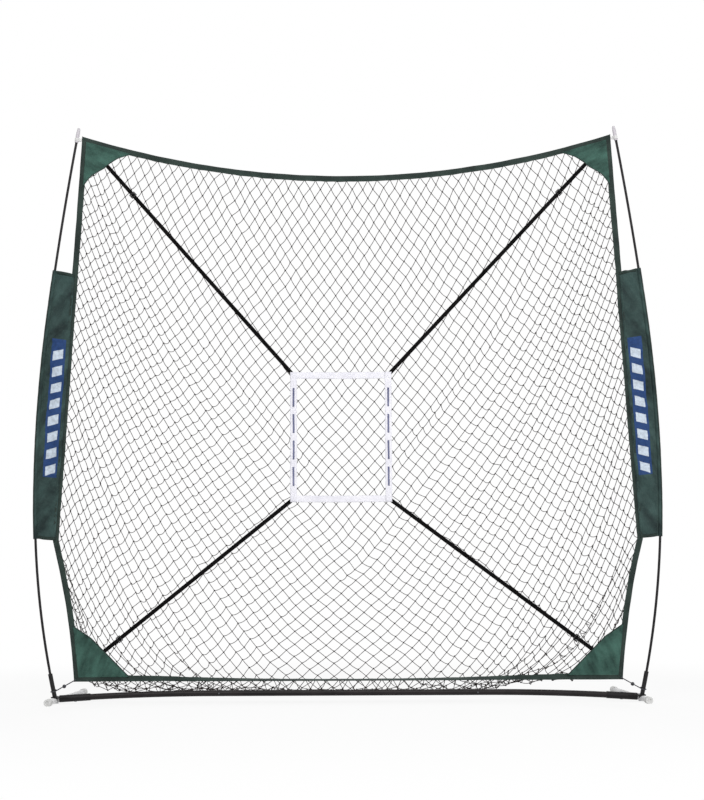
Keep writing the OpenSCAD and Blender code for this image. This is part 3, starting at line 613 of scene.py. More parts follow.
# ---- the net ----
NET_ACROSS, NET_DOWN = 50, 40   # diamonds
STRAND = 38.5 * MM              # from knot to knot
TWINE_R, TWINE_SIDES = 1.22 * MM, 6
TWINE_TWIST = 5 * MM
SPANS = 4                       # stretches in the mesh of one strand
NET_IN = 16 * MM                # the net's edge from the outer edge of the border
BAG_UNDER, BAG_BELLY = 231 * MM, 561 * MM
BAG_DIP, BAG_BELLY_Z = -181 * MM, 500 * MM
BAG_SIDE = 2.5
BAG_LOW = 42 * MM
NET_BEHIND = 5 * MM             # the net keeps this far behind the cloth and the straps
NET_ASIDE = 9 * MM              # and this far inside the outer edge of the side borders

# its sides are gathered towards the bottom corners, more on the left, and the knots slip along the border
GATHER_LEFT, GATHER_RIGHT = 0.6, 0.0
GATHER_OVER = 0.16
SLIP = 0.3                      # of half a diamond

# the solver: the share of its speed that a knot keeps in a step, what its weight and the bag's pull add to
# it, and the least distance of joined knots and of those across a diamond, in strands
NET_STEPS = 700
SPEED_KEPT, WEIGHT, BAG_PULL = 0.97, 2e-5, 2e-4
STRAND_SPREAD = (0.97, 1.02)
JOINED_LEAST, ACROSS_LEAST = 0.6, 0.57

# a slack strand droops by this share of what its slack allows, about this way
DROOP_SHARE, DROOP_MOST = 0.7, 9 * MM
DROOP_WAY, DROOP_SPREAD = (0, 0.2, -1), 0.45
KNOT_LOW, KNOT_HIGH = (1.5, 1.4, 2.6), (2.0, 1.8, 3.4)   # half sizes of a wrap, in twine radii
KNOT_SPREAD = 0.22


def bag_at(u, v):
    """The bag of the net: u runs across from -1 to 1, v up from 0 to 1."""
    low = BOTTOM_Z + NET_IN

    def edge_z(x):
        return low + v * (top_z(x) - NET_IN - low)
    x = u * (side_x(edge_z(u * (TOP_X - NET_IN))) - NET_IN)
    z = edge_z(x)
    x = u * (side_x(z) - NET_IN)
    full = 1 - np.abs(u) ** BAG_SIDE
    hang = bezier(v, low, BAG_DIP, BAG_BELLY_Z, top_z(0) - NET_IN) - edge_z(0)
    return np.stack([x, PLANE_Y + full * bezier(v, 0, BAG_UNDER, BAG_BELLY, 0), z + full * hang], -1)


def behind_bottom_border(points, lift):
    """The points, where those level with the rolled bottom border lie at least lift behind its middle."""
    roll = border_roll("bottom", (points[..., 0] / BOTTOM_X + 1) / 2)
    y, z = points[..., 1] - PLANE_Y, points[..., 2] - BOTTOM_Z
    inset = y * np.sin(roll) + z * np.cos(roll)
    short = np.maximum(lift + z * np.sin(roll) - y * np.cos(roll), 0)
    move = np.where((inset > 0) & (inset < BAND_W + 2 * MM), short, 0)
    return points + np.stack([0 * move, move * np.cos(roll), -move * np.sin(roll)], -1)


def net_layout(rng):
    """Knots spread over the bag, which of them the border holds, and pairs of them.

    The pairs are the ends of rising strands, of falling strands, and knots across a diamond."""
    wide, high = 2 * NET_ACROSS, 2 * NET_DOWN
    column, row = np.meshgrid(np.arange(wide + 1), np.arange(high + 1), indexing="ij")
    is_knot = (column + row) % 2 == 0
    number = np.full(column.shape, -1)
    number[is_knot] = np.arange(is_knot.sum())
    i, j = column[is_knot], row[is_knot]
    on_level, on_side = (j == 0) | (j == high), (i == 0) | (i == wide)
    slip = rng.uniform(-SLIP, SLIP, len(i))
    u = 2 * (i + slip * (on_level & ~on_side)) / wide - 1
    v = (j + slip * (on_side & ~on_level)) / high
    gather = GATHER_LEFT + (GATHER_RIGHT - GATHER_LEFT) * (u + 1) / 2
    knots = bag_at(u, v * (1 - gather * np.exp(-v / GATHER_OVER)))
    knots[j == 0] = band_point("bottom", (knots[j == 0, 0] / (BOTTOM_X - NET_IN) + 1) / 2, NET_IN, 0)

    def pairs(across, up, chosen):
        ok = is_knot & chosen & (column + across <= wide) & (row + up <= high) & (row + up >= 0)
        return number[column[ok], row[ok]], number[column[ok] + across, row[ok] + up]
    even = column % 2 == 0
    rising = [pairs(1, 1, even), pairs(1, 1, ~even)]
    falling = [pairs(1, -1, even), pairs(1, -1, ~even)]
    across = [pairs(2, 0, column // 2 % 2 == k) for k in (0, 1)]
    across += [pairs(0, 2, row // 2 % 2 == k) for k in (0, 1)]
    return knots, on_level | on_side, rising, falling, across


def pull(points, free, a, b, length, sign):
    """Draws points a and b together where they are further apart than length, or apart where sign is -1."""
    gap = points[b] - points[a]
    now = np.sqrt((gap * gap).sum(1)) + 1e-9
    off = np.maximum((now - length) * sign, 0) * sign
    move = (off / now / (free[a] + free[b] + 1e-9))[:, None] * gap
    points[a] += free[a][:, None] * move
    points[b] -= free[b][:, None] * move


def hang_net():
    """Lets knots that are joined by strands of one length hang under their weight from the border.

    Returns the knots, which of them are held, and the ends of the rising and of the falling strands."""
    rng = np.random.default_rng(SEED)
    knots, held, rising, falling, across = net_layout(rng)
    strands = [(a, b, STRAND * rng.uniform(*STRAND_SPREAD, len(a))) for a, b in rising + falling]
    free = np.where(held, 0.0, 1.0)
    bag_y = knots[:, 1].copy()
    speed = np.zeros_like(knots)
    for _ in range(NET_STEPS):
        speed *= SPEED_KEPT
        speed[:, 2] -= WEIGHT
        speed[:, 1] += BAG_PULL * (bag_y - knots[:, 1])
        moved = knots + speed * free[:, None]
        for _ in range(2):
            for a, b, length in strands:
                pull(moved, free, a, b, length, 1)
            for a, b, length in strands:
                pull(moved, free, a, b, JOINED_LEAST * length, -1)
            for a, b in across:
                pull(moved, free, a, b, ACROSS_LEAST * STRAND, -1)
        moved[:, 2] = np.maximum(moved[:, 2], BAG_LOW)
        moved[:, 1] = np.where(held, moved[:, 1], np.maximum(moved[:, 1], PLANE_Y + NET_BEHIND))
        widest = side_x(moved[:, 2]) - NET_ASIDE
        moved[:, 0] = np.clip(moved[:, 0], -widest, widest)
        moved[~held] = behind_bottom_border(moved[~held], NET_BEHIND)
        speed = moved - knots
        knots = moved
    return knots, held, rising, falling


def strand_paths(knots, groups, rng):
    """Each strand as points: straight where it is tight, and hanging a little where it is slack."""
    start, end = (knots[np.concatenate(side)] for side in zip(*groups))
    now = np.linalg.norm(end - start, axis=1)
    slack = np.maximum(STRAND - now, 0)
    drop = np.minimum(DROOP_SHARE * np.sqrt(3 / 8 * now * slack), DROOP_MOST)
    way = unit(np.array(DROOP_WAY) + rng.normal(0, DROOP_SPREAD, start.shape))
    t = np.linspace(0, 1, SPANS + 1)[None, :, None]
    paths = start[:, None] * (1 - t) + end[:, None] * t + 4 * t * (1 - t) * (way * drop[:, None])[:, None]
    paths[..., 1] = np.maximum(paths[..., 1], PLANE_Y)
    return behind_bottom_border(paths, 0)


def make_net():
    """The twine in two meshes, strands that rise to the right and strands that fall, and the knots."""
    knots, held, rising, falling = hang_net()
    rng = np.random.default_rng(SEED + 1)
    for name, groups in (("rising", rising), ("falling", falling)):
        paths = strand_paths(knots, groups, rng)
        piece = tubes("net_twine_" + name, paths, TWINE_R, TWINE_SIDES, TWINE_TWIST)
        paint(piece, "twine", "net")
    # a knot is two short wraps, one on each strand
    centres = knots[~held]
    for name, lean in (("rising", 1), ("falling", -1)):
        lie = unit(rng.normal(0, KNOT_SPREAD, (len(centres), 3)) + [lean, 0, 1.0])
        side = unit(np.cross(lie, [0.1, 1.0, 0.05]))
        axes = np.stack([side, np.cross(lie, side), lie], 1)
        sizes = TWINE_R * rng.uniform(KNOT_LOW, KNOT_HIGH, (len(centres), 3))
        piece = lumps("net_knots_" + name, centres + [0, 0.5 * lean * TWINE_R, 0], axes, sizes)
        paint(piece, "twine", "net")


# ---- the border ----
BORDER_COUNT = 280
CORNER_LAP = 0.0007   # share of its length that a band runs on at its mitres
# across the folded band, in mm: distance from its outer edge, and how far each layer lies from the middle
BAND_SECTION = ((22, 1.0), (20.5, 0.8), (19, 0.75), (17, 1.0), (12, 1.25), (7, 1.3), (3, 1.25), (1, 1.0),
                (0.2, 0.5))
SEAM_INSET, SEAM_LIFT = 18.6 * MM, 1.05 * MM
SWAY, WIDTH_CHANGE, PUCKER = 0.9 * MM, 0.7 * MM, 0.35 * MM
ROLL = math.radians(80)   # the net's weight rolls the bottom border back, most in its middle
ROLL_HALF = 840 * MM
TWIST = math.radians(6)


def border_roll(name, t):
    """How far the border is rolled back round its outer edge."""
    if name == "bottom":
        x = (2 * t - 1) * BOTTOM_X
        return ROLL * np.maximum(1 - (x / ROLL_HALF) ** 2, 0) ** 0.6
    return TWIST * ripple(t, 7, 90 + len(name)) * smooth(t * 9) * smooth((1 - t) * 9)


def band_point(name, t, inset, lift):
    """A point of the border band: inset from its outer edge, and lift behind the middle of the band."""
    roll = border_roll(name, np.asarray(t, float))
    x, z = border_point(name, t, inset * np.cos(roll) - lift * np.sin(roll))
    return np.stack([x, PLANE_Y + inset * np.sin(roll) + lift * np.cos(roll), z], -1)


def border_point(name, t, inset):
    """(x, z) on a border, t from 0 to 1 along it, that far in from its outer edge."""
    if name == "top":
        x = (2 * t - 1) * (TOP_X - inset)
        return x, top_z(x) - inset
    low = BOTTOM_Z + inset
    if name == "bottom":
        return (2 * t - 1) * (BOTTOM_X - inset), low + 0 * t
    z = low + t * (top_z(TOP_X - inset) - inset - low)
    x = side_x(z) - inset
    return (x if name == "right" else -x), z


def make_border(name, seed):
    """A folded cloth band round the net's edge, sewn through near its inner edge."""
    t = np.linspace(-CORNER_LAP, 1 + CORNER_LAP, BORDER_COUNT)
    half = [(inset * MM, lift * MM) for inset, lift in BAND_SECTION]
    section = [(inset, -lift) for inset, lift in half] + [(0.0, 0.0)] + half[::-1]
    ends = smooth(t * 12) * smooth((1 - t) * 12)
    sway = SWAY * ripple(t, 26, seed) * ends
    width = WIDTH_CHANGE * ripple(t, 60, seed + 1, 0.2) * ends
    pucker = PUCKER * ripple(t, 110, seed + 2, 0.0)
    columns, uvs = [], []
    for (inset, lift), run in zip(section, run_along(section)):
        puckered = lift + pucker * (inset / BAND_W) ** 2 * np.sign(lift)
        columns.append(band_point(name, t, inset + sway + width * inset / BAND_W, puckered))
        uvs.append(np.stack([t * 2 * TOP_X, run + 0 * t], 1))
    band = grid_object("border_band_" + name, np.stack(columns, 1), np.stack(uvs, 1))
    thicken(paint(band, "border", "border_" + name), 0.45 * MM)
    seam = SEAM_INSET + sway + width * 0.85
    runs = [(band_point(name, t, seam, facing[1] * SEAM_LIFT), facing) for facing in (FRONT, -FRONT)]
    sewn = paint(stitches("border_stitches_" + name, runs), "dark_thread")


# ---- cloth that is sewn down at its edges ----
CLOTH = {"vertex_group_mass": "sewn", "quality": 6, "mass": 0.15, "tension_stiffness": 25,
         "compression_stiffness": 25, "shear_stiffness": 12, "bending_stiffness": 0.25}
CLOTH_GRAVITY = 0.15
CLOTH_FRAMES = 22
CLOTH_T = 0.5 * MM
SEAM_OVER = 0.45 * MM * FRONT   # from the middle of the cloth to the stitches on it


def crumple(pieces):
    """Blender's cloth on all pieces together: each is a little larger than its seams, so it buckles.

    pieces holds (object, which of its points are sewn down, its growth, how far its points may move)."""
    rest = [mesh_points(piece.data) for piece, *_ in pieces]
    for piece, sewn, grow, _ in pieces:
        group = piece.vertex_groups.new(name="sewn")
        group.add([int(k) for k in np.flatnonzero(sewn)], 1.0, "REPLACE")
        settings = modifier(piece, "CLOTH").settings
        for name, value in CLOTH.items():
            setattr(settings, name, value)
        settings.shrink_min = -grow
        settings.effector_weights.gravity = CLOTH_GRAVITY
    scene = bpy.context.scene
    for number in range(1, CLOTH_FRAMES + 1):
        scene.frame_set(number)
    shapes = bpy.context.evaluated_depsgraph_get()
    for (piece, _, _, limit), start in zip(pieces, rest):
        off = mesh_points(piece.evaluated_get(shapes).to_mesh()) - start
        off[:, 1] = np.clip(off[:, 1], -limit, 0.35 * limit)
        off[:, [0, 2]] = np.clip(off[:, [0, 2]], -limit, limit)
        piece.modifiers.clear()
        piece.data.vertices.foreach_set("co", (start + off).astype(np.float32).ravel())
        piece.data.update()
    scene.frame_set(1)


PATCH_Y = -2.6 * MM   # the patch's cloth in front of the plane of the net
PATCH_ROWS, PATCH_COLUMNS, PATCH_HEM_ROWS = 40, 56, 2
PATCH_GROWTH, PATCH_LIMIT = 0.08, 7 * MM
FOLD_H, FOLD_HALF = 2.2 * MM, 9 * MM
DIP_OFF, DIP_HALF = 22 * MM, 12 * MM   # the shallow dip beside the fold


def patch_grid(side, end):
    """The patch's cloth from its corner out to its inner edge, with a soft fold towards the strap."""
    corner, edge = patch_points(end)
    rim = relaxed(along(edge, PATCH_COLUMNS), 6 if end == TOP else 0)
    flat = corner + np.linspace(0.0, 1.0, PATCH_ROWS)[:, None, None] * (rim - corner)
    pulled = strap_line(RIGHT, end)[1]
    way = unit(pulled - corner)
    off = (flat - corner) @ np.array([-way[1], way[0]])
    out = (flat - corner) @ way
    reach = out / np.linalg.norm(pulled - corner)
    fold = np.exp(-(off / FOLD_HALF) ** 2) * smooth(reach * 1.6)
    fold -= 0.5 * np.exp(-((off - DIP_OFF) / DIP_HALF) ** 2)
    points = at_y(flat, PLANE_Y + PATCH_Y - FOLD_H * fold)
    points[..., 0] *= side
    return points, np.stack([off, out], -1)


def make_patch(side, end):
    """The patch, and what crumple needs to know of it."""
    name = "patch_" + place_name(side, end)
    piece = grid_object(name + "_cloth", *patch_grid(side, end))
    row, column = np.indices((PATCH_ROWS, PATCH_COLUMNS))
    sewn = (column < 2) | (column > PATCH_COLUMNS - 3) | (row < 3)
    return paint(piece, "patch", name), sewn, PATCH_GROWTH, PATCH_LIMIT


def finish_patch(piece, side, end):
    """Hem, stitches and thickness of a patch after it has crumpled."""
    points = mesh_points(piece.data).astype(float).reshape(PATCH_ROWS, PATCH_COLUMNS, 3)
    name = "patch_" + place_name(side, end)
    # the hem is in the darker hem cloth: painted shade along the folded inner edge
    hem = points[-PATCH_HEM_ROWS:] + 0.75 * MM * FRONT
    hem[-1, :, 1] += 0.4 * MM
    fold = paint(grid_object(name + "_hem", hem, hem[..., [0, 2]]), "hem")
    for layer in (fold, piece):
        thicken(layer, CLOTH_T)
    runs = [(points[3:, 2] + SEAM_OVER, FRONT), (points[3:, -3] + SEAM_OVER, FRONT),
            (hem[0, 2:-2] + SEAM_OVER * 0.6, FRONT)]
    sewn = paint(stitches(name + "_stitches", runs, 5 * MM, 3.2 * MM), "dark_thread")
    corner, edge = patch_points(end)


PANEL_ROWS, PANEL_COLUMNS, SLEEVE_COLUMNS = 170, 12, 15
PANEL_GROWTH, PANEL_LIMIT = 0.045, 8 * MM
PANEL_LIFT = 3.2 * MM         # the panel lies in front of the border that it is sewn to
PANEL_IN, PANEL_SHORT = 10 * MM, 15 * MM
SLEEVE_SEAM, SLEEVE_GAP = 3.5 * MM, 0.12   # the gap in radians
SLEEVE_SLACK = 0.5 * MM
PANEL_WAVE, SLEEVE_WAVE = 4.5 * MM, 0.35 * MM
HEM_ROWS = 3
EDGE_SHADE_COLUMNS = slice(4, 11)   # the outer side of the sleeve, covered by a dark strip: painted shade along the sleeve's outer edge


def panel_grid(side):
    """The side panel: from the border out to the pole, then round the pole as a sleeve to its seam."""
    s = np.linspace(PANEL_START, PANEL_END, PANEL_ROWS)[:, None]
    down = np.linspace(0, 1, PANEL_ROWS)[:, None]
    poles = np.array([pole_at(v) for v in s[:, 0]])
    pole, lean = poles[:, None, :2], poles[:, None, 2]
    normal = np.stack([np.cos(lean), -np.sin(lean)], -1)
    inner_z = np.linspace(WIDE_Z, poles[-1, 1] - PANEL_SHORT, PANEL_ROWS)[:, None]
    inner = np.stack([side_x(inner_z) - PANEL_IN, inner_z], -1)
    t = np.linspace(0, 1, PANEL_COLUMNS)
    flat = inner * (1 - t[:, None]) + (pole - normal * (SLEEVE_R + SLEEVE_SEAM)) * t[:, None]
    slant = ripple(down * 0.9 + 0.07 * t, 12, 31 + side, 0.4)
    belly = PANEL_WAVE * slant * np.sin(np.pi * t)
    turn = np.linspace(SLEEVE_GAP, 2 * np.pi - SLEEVE_GAP, SLEEVE_COLUMNS)
    loose = SLEEVE_R + SLEEVE_SLACK + SLEEVE_WAVE * ripple(down + 0.03 * turn, 40, 51 + side, 0.2)
    sleeve = pole - normal * (np.cos(turn) * loose)[..., None]
    points = np.concatenate([at_y(flat, PLANE_Y - PANEL_LIFT - belly),
                             at_y(sleeve, PLANE_Y - np.sin(turn) * loose)], 1)
    steps = np.linalg.norm(np.diff(points, axis=1, prepend=points[:, :1]), axis=2)
    points[..., 0] *= side
    return points, np.stack([np.cumsum(steps, axis=1), np.broadcast_to(s, steps.shape)], -1)


def make_panel(side):
    """The side panel, and what crumple needs to know of it."""
    name = "side_panel_" + SIDES[side]
    piece = grid_object(name + "_cloth", *panel_grid(side))
    column = np.indices((PANEL_ROWS, PANEL_COLUMNS + SLEEVE_COLUMNS))[1]
    sewn = (column < 1) | (column >= PANEL_COLUMNS - 1)
    return paint(piece, "panel", name), sewn, PANEL_GROWTH, PANEL_LIMIT


def finish_panel(piece, side):
    """Hems, a dark strip of painted shade on the sleeve's outer side, stitches and thickness of a side panel
    after it has crumpled.
    """
    points = mesh_points(piece.data).astype(float).reshape(PANEL_ROWS, -1, 3)
    name = "side_panel_" + SIDES[side]
    panel, sleeve = points[:, :PANEL_COLUMNS], points[:, PANEL_COLUMNS:]
    extras = []
    # hems at both ends, in the darker hem cloth: painted shade along the folds
    for place, rows in (("low", slice(0, HEM_ROWS)), ("high", slice(-HEM_ROWS, None))):
        hem = panel[rows] + 0.7 * MM * FRONT
        extras.append(grid_object(f"{name}_hem_{place}", hem, hem[..., [0, 2]]))
    # a dark strip over the sleeve's outer side: painted shade along the sleeve's edge
    edge_shade_strip = sleeve[:, EDGE_SHADE_COLUMNS] + 0.6 * MM * unit(sleeve[:, EDGE_SHADE_COLUMNS] - sleeve.mean(1, keepdims=True))
    extras.append(grid_object(name + "_edge_shade_strip", edge_shade_strip, edge_shade_strip[..., [1, 2]]))
    thicken(piece, CLOTH_T)
    for extra in extras:
        thicken(paint(extra, "hem"), CLOTH_T)
    runs = [(panel[:, -1] + SEAM_OVER, FRONT), (panel[:, -1] - 0.5 * SEAM_OVER, -FRONT)]
    runs += [(line + SEAM_OVER, FRONT) for line in (panel[:, 1], panel[1, 1:], panel[-2, 1:])]
    sewn = paint(stitches(name + "_stitches", runs, 6 * MM, 4 * MM), "dark_thread")


# ---- flat webbing ----
def ribbon(name, path, across, facing, thickness):
    """Webbing along path (n, 3): across is its full width as a vector, with rounded edges and thickness."""
    path = np.asarray(path, float)
    across = np.broadcast_to(np.asarray(across, float), path.shape)
    facing = np.broadcast_to(np.asarray(facing, float), path.shape)
    wide, half = np.linalg.norm(across[0]), thickness / 2
    t = np.linspace(-0.5, 0.5, 7)
    t = np.sign(t) * np.abs(2 * t) ** 0.8 / 2
    over = np.maximum(np.abs(t) * wide - (wide / 2 - half), 0)
    bulge = half * np.sqrt(np.clip(1 - over ** 2 / half ** 2, 0.1, 1))
    # the front from edge to edge, then the back from edge to edge the other way
    t, bulge = np.append(t, t[::-1]), np.append(bulge, -bulge[::-1])
    points = path[:, None] + across[:, None] * t[:, None] + facing[:, None] * bulge[:, None]
    count, around = points.shape[:2]
    k = np.arange(around // 2 - 1)
    first = np.stack([k + 1, k, around - 1 - k, around - 2 - k], 1)
    last = first[:, ::-1] + (count - 1) * around
    faces = np.concatenate([grid_faces(count, around, closed=True), first, last])
    uvs = np.stack([run_along(path)[faces // around], (t * wide)[faces % around]], -1)
    return mesh_object(name, points.reshape(-1, 3), faces, uvs.reshape(-1, 2))


ZONE_T = 1.5 * MM
ZONE_LEVEL_Y, ZONE_UPRIGHT_Y = -2.5 * MM, -4.5 * MM
ZONE_SEAM = 3 * MM    # the corners' stitches from the edge of the webbing
DASHES = 4
DASH_PITCH, DASH_LONG, DASH_W = 99 * MM, 71 * MM, 7 * MM
DASH_T, DASH_LIFT = 0.2 * MM, 0.12 * MM


def zone_path(upright, place, seed):
    """The middle line of a band of the strike zone: level at height place, or upright at x place."""
    t = np.linspace(0, 1, 60)
    belly = np.sin(np.pi * t)
    if upright:
        wave = ripple(t, 5, seed)
        y = PLANE_Y + ZONE_UPRIGHT_Y - 0.5 * MM * np.abs(wave) * belly
        return np.stack([place + 0.8 * MM * wave * belly, y, ZONE_BOTTOM + t * ZONE_H], 1)
    y = PLANE_Y + ZONE_LEVEL_Y + 0 * t
    return np.stack([ZONE_X - ZONE_W / 2 + t * ZONE_W, y, place - 1.5 * MM * belly ** 2], 1)


def zone_middle(side, end):
    """(x, z) of the middle of the upright band on that side, and of the level band at that end."""
    return ZONE_X + side * (ZONE_W - WEBBING_W) / 2, ZONE_Z + end * (ZONE_H - WEBBING_W) / 2


def make_zone_band(name, path, across):
    band = ribbon("zone_webbing_" + name, path, across, FRONT, ZONE_T)
    paint(band, "white", "zone_band_" + name)


def make_dashes(name, path):
    """The print on an upright band."""
    for k in range(DASHES):
        middle = ZONE_Z + (k - (DASHES - 1) / 2) * DASH_PITCH
        z = np.linspace(middle - DASH_LONG / 2, middle + DASH_LONG / 2, 8)
        at = np.stack([np.interp(z, path[:, 2], path[:, c]) for c in range(3)], 1)
        at += FRONT * (ZONE_T / 2 + DASH_LIFT)
        dash = ribbon(f"zone_dash_{name}_{k}", at, (-DASH_W, 0, 0), FRONT, DASH_T)
        paint(dash, "dash")


def make_zone():
    """Four webbing bands, the printed dashes on the upright ones, and the sewn corners."""
    for end, name in ENDS.items():
        path = zone_path(False, zone_middle(RIGHT, end)[1], 61 + end)
        make_zone_band(name, path, (0, 0, WEBBING_W))
    for side, name in SIDES.items():
        path = zone_path(True, zone_middle(side, TOP)[0], 71 + side)
        make_zone_band(name, path, (-WEBBING_W, 0, 0))
        make_dashes(name, path)
    # each corner has a box of stitches with a cross in it
    half = WEBBING_W / 2 - ZONE_SEAM
    runs = []
    for side in SIDES:
        for end in ENDS:
            middle = at_y(np.array(zone_middle(side, end)), PLANE_Y + ZONE_UPRIGHT_Y - ZONE_T / 2)
            box = [middle + [half * a, 0, half * b] for a, b in ((-1, -1), (1, -1), (1, 1), (-1, 1))]
            lines = [(box[k], box[(k + 1) % 4]) for k in range(4)] + [(box[0], box[2]), (box[1], box[3])]
            runs += [(np.linspace(a, b, 9), FRONT) for a, b in lines]
    paint(stitches("zone_stitches", runs, 2.6 * MM, 2 * MM, FINE_THREAD), "pale_thread")


STRAP_T, STRAP_Y = 1.3 * MM, -0.75 * MM
FOLD_T, FOLD_Y, FOLD_LONG = 1.1 * MM, 0.55 * MM, 34 * MM
STRAP_SEAMS, STRAP_SEAM_HALF = (20 * MM, 30 * MM), 5 * MM


def make_strap(side, end):
    """An elastic strap from the zone's corner to its patch, folded back and sewn at the zone."""
    name = place_name(side, end)
    start, stop = strap_line(side, end)
    way = unit(stop - start)
    turn = np.array([-way[1], way[0]])

    def make(kind, far, count, y, thick, node=None):
        path = at_y(np.linspace(start, far, count), PLANE_Y + y)
        piece = ribbon(f"strap_{kind}_{name}", path, at_y(turn * STRAP_W * -side, 0), FRONT, thick)
        paint(piece, "strap", node)
    make("webbing", stop + way * STRAP_LAP, 90, STRAP_Y, STRAP_T, "strap_" + name)
    make("fold", start + way * FOLD_LONG, 12, FOLD_Y, FOLD_T)
    runs = []
    for near in STRAP_SEAMS:
        line = np.linspace(-STRAP_SEAM_HALF, STRAP_SEAM_HALF, 6)[:, None] * turn + start + way * near
        runs += [(at_y(line, PLANE_Y - 1.5 * MM), FRONT), (at_y(line, PLANE_Y + 1.15 * MM), -FRONT)]
    paint(stitches("strap_stitches_" + name, runs, 2.4 * MM, 2 * MM, FINE_THREAD), "black_thread")


SLIDER_LEN, SLIDER_W, SLIDER_T = 18 * MM, 24 * MM, 3.6 * MM
SLIDER_BAR, SLIDER_BAR_T = 3.4 * MM, 1.6 * MM


def slider_bars():
    """The centre and the size of each bar of a slider: x along the strap, y across it, z to the front."""
    cross = (SLIDER_BAR, SLIDER_W, SLIDER_BAR_T)
    long = (SLIDER_LEN, SLIDER_BAR, SLIDER_T)
    return ([((0, sign * (SLIDER_W / 2 - 2.1 * MM), 0), long) for sign in (-1, 1)]
            + [((sign * (SLIDER_LEN - SLIDER_BAR) / 2, 0, 1.55 * MM), cross) for sign in (-1, 1)]
            + [((0, 0, -1.55 * MM), cross)])


def make_slider(side, end):
    """A plastic adjuster: a rounded frame and a bar across its middle, round which the strap runs."""
    name = "slider_" + place_name(side, end)
    low, high = node_box(name)
    start, stop = strap_line(side, end)
    way = unit(stop - start)
    mesh = bmesh.new()
    for centre, size in slider_bars():
        for v in bmesh.ops.create_cube(mesh, size=1.0)["verts"]:
            v.co = Vector(centre) + Vector(v.co[k] * size[k] for k in range(3))
    data = bpy.data.meshes.new(name + "_adjuster")
    mesh.to_mesh(data)
    mesh.free()
    axes = np.array([[way[0], 0, way[1]], [-way[1], 0, way[0]], FRONT])
    points = mesh_points(data).astype(float) @ axes + (low + high) / 2
    data.vertices.foreach_set("co", points.astype(np.float32).ravel())
    data.shade_smooth()
    piece = paint(add_object(name + "_adjuster", data, name), "slider", name)
    modifier(piece, "BEVEL", width=0.7 * MM, segments=3, limit_method="ANGLE")


# ---- the springs of the snap buttons ----
SPRING_W, SPRING_T, SPRING_CURL = 5 * MM, 0.6 * MM, 2 * MM
SPRING_FREE = 0.05 * MM   # between the spring and the button's flange


def make_button_spring(side):
    """A V of flat steel behind a snap button, which closes as the button goes in."""
    name = "button_spring_" + SIDES[side]
    low, high = node_box(name)
    start, end = (low[0], high[0])[::side]
    z = (low[2] + high[2]) / 2
    near, far = low[1] + SPRING_T / 2 + SPRING_FREE, high[1] - SPRING_T / 2
    bend = end - side * SPRING_CURL
    tip = (end - side * SPRING_T / 2, (near + far) / 2, z)
    curl = (bend, near + SPRING_CURL, z), tip, (bend, far - SPRING_CURL, z)
    path = relaxed(along([(start, near, z), *curl, (start, far, z)], 70), 4)
    across = np.array([0, 0, SPRING_W])
    facing = unit(np.cross(np.gradient(path, axis=0), across))
    spring = paint(ribbon(name + "_leaf", path, across, facing, SPRING_T), "spring", name)
    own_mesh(spring)


# ---- corners of the net ----
LOOP_W, LOOP_T = 12 * MM, 0.9 * MM
LOOP_DOWN = 28 * MM      # from the pole's end
LOOP_BEHIND = 1.9 * MM   # its tails behind the plane of the net


def make_corner_loop(side):
    """A webbing loop on the net's top corner that hooks over the pole's tip."""
    name = SIDES[side]
    centre, out, up = pole_frame(POLE_LEN - LOOP_DOWN)
    turn = np.linspace(0.0, 2 * np.pi, 28)[:, None]
    ring = centre + (TIP_R + LOOP_T) * (-np.cos(turn) * out + np.sin(turn) * FRONT)
    tail_from = np.array([TOP_X - 14 * MM, PLANE_Y + LOOP_BEHIND, centre[2]])
    tail = np.linspace(tail_from, ring[0] + [-2.5 * MM, LOOP_BEHIND, 0], 8)
    path = relaxed(np.vstack([tail, ring[1:-1], tail[::-1] + [0, 1.2 * MM, 0]]), 3)
    facing = unit(np.cross(up, unit(np.gradient(path, axis=0))))
    mirror = np.array([side, 1, 1])
    across = -side * LOOP_W * up * mirror
    loop = ribbon("corner_loop_" + name, path * mirror, across, -facing * mirror, LOOP_T)
    paint(loop, "loop", "corner_loops")
    low, high = (tail_from * mirror + [side * 3 * MM, 1.8 * MM, dz * MM] for dz in (-4, 4))
    runs = [(np.linspace(low, high, 6) + [side * step, 0, 0], -FRONT) for step in (0, 9 * MM)]
    paint(stitches("corner_loop_stitches_" + name, runs, 2.2 * MM, 1.8 * MM, FINE_THREAD), "pale_thread")


BUNGEE_R, BUNGEE_SIDES = 1.9 * MM, 12
BUNGEE_TWIST = 6 * MM
BUNGEE_UP = 16 * MM      # where it goes round the pole's socket
BUNGEE_FREE = 0.3 * MM
BUNGEE_TURN = (math.radians(62), math.radians(385))


def bungee_route(side):
    """From the net's corner through the ball, then once round the pole's socket."""
    centre, out, up = pole_frame(BUNGEE_UP)
    start = np.array([BOTTOM_X - 8 * MM, PLANE_Y - 3.5 * MM, BOTTOM_Z + 8 * MM])
    turn = np.linspace(*BUNGEE_TURN, 34)[:, None]
    rise = np.linspace(-1.0, 4.6, len(turn))[:, None] * MM
    ring = SOCKET_R + BUNGEE_FREE + BUNGEE_R
    loop = centre + ring * (-np.cos(turn) * out + np.sin(turn) * FRONT) + rise * up
    return np.vstack([np.linspace(start, loop[0], 14)[:-1], loop]) * [side, 1, 1]


def make_bungee(side):
    path = along(bungee_route(side), 90)
    piece = tubes("bungee_cord_" + SIDES[side], path[None], BUNGEE_R, BUNGEE_SIDES, BUNGEE_TWIST)
    paint(piece, "elastic", "bungee_loops")


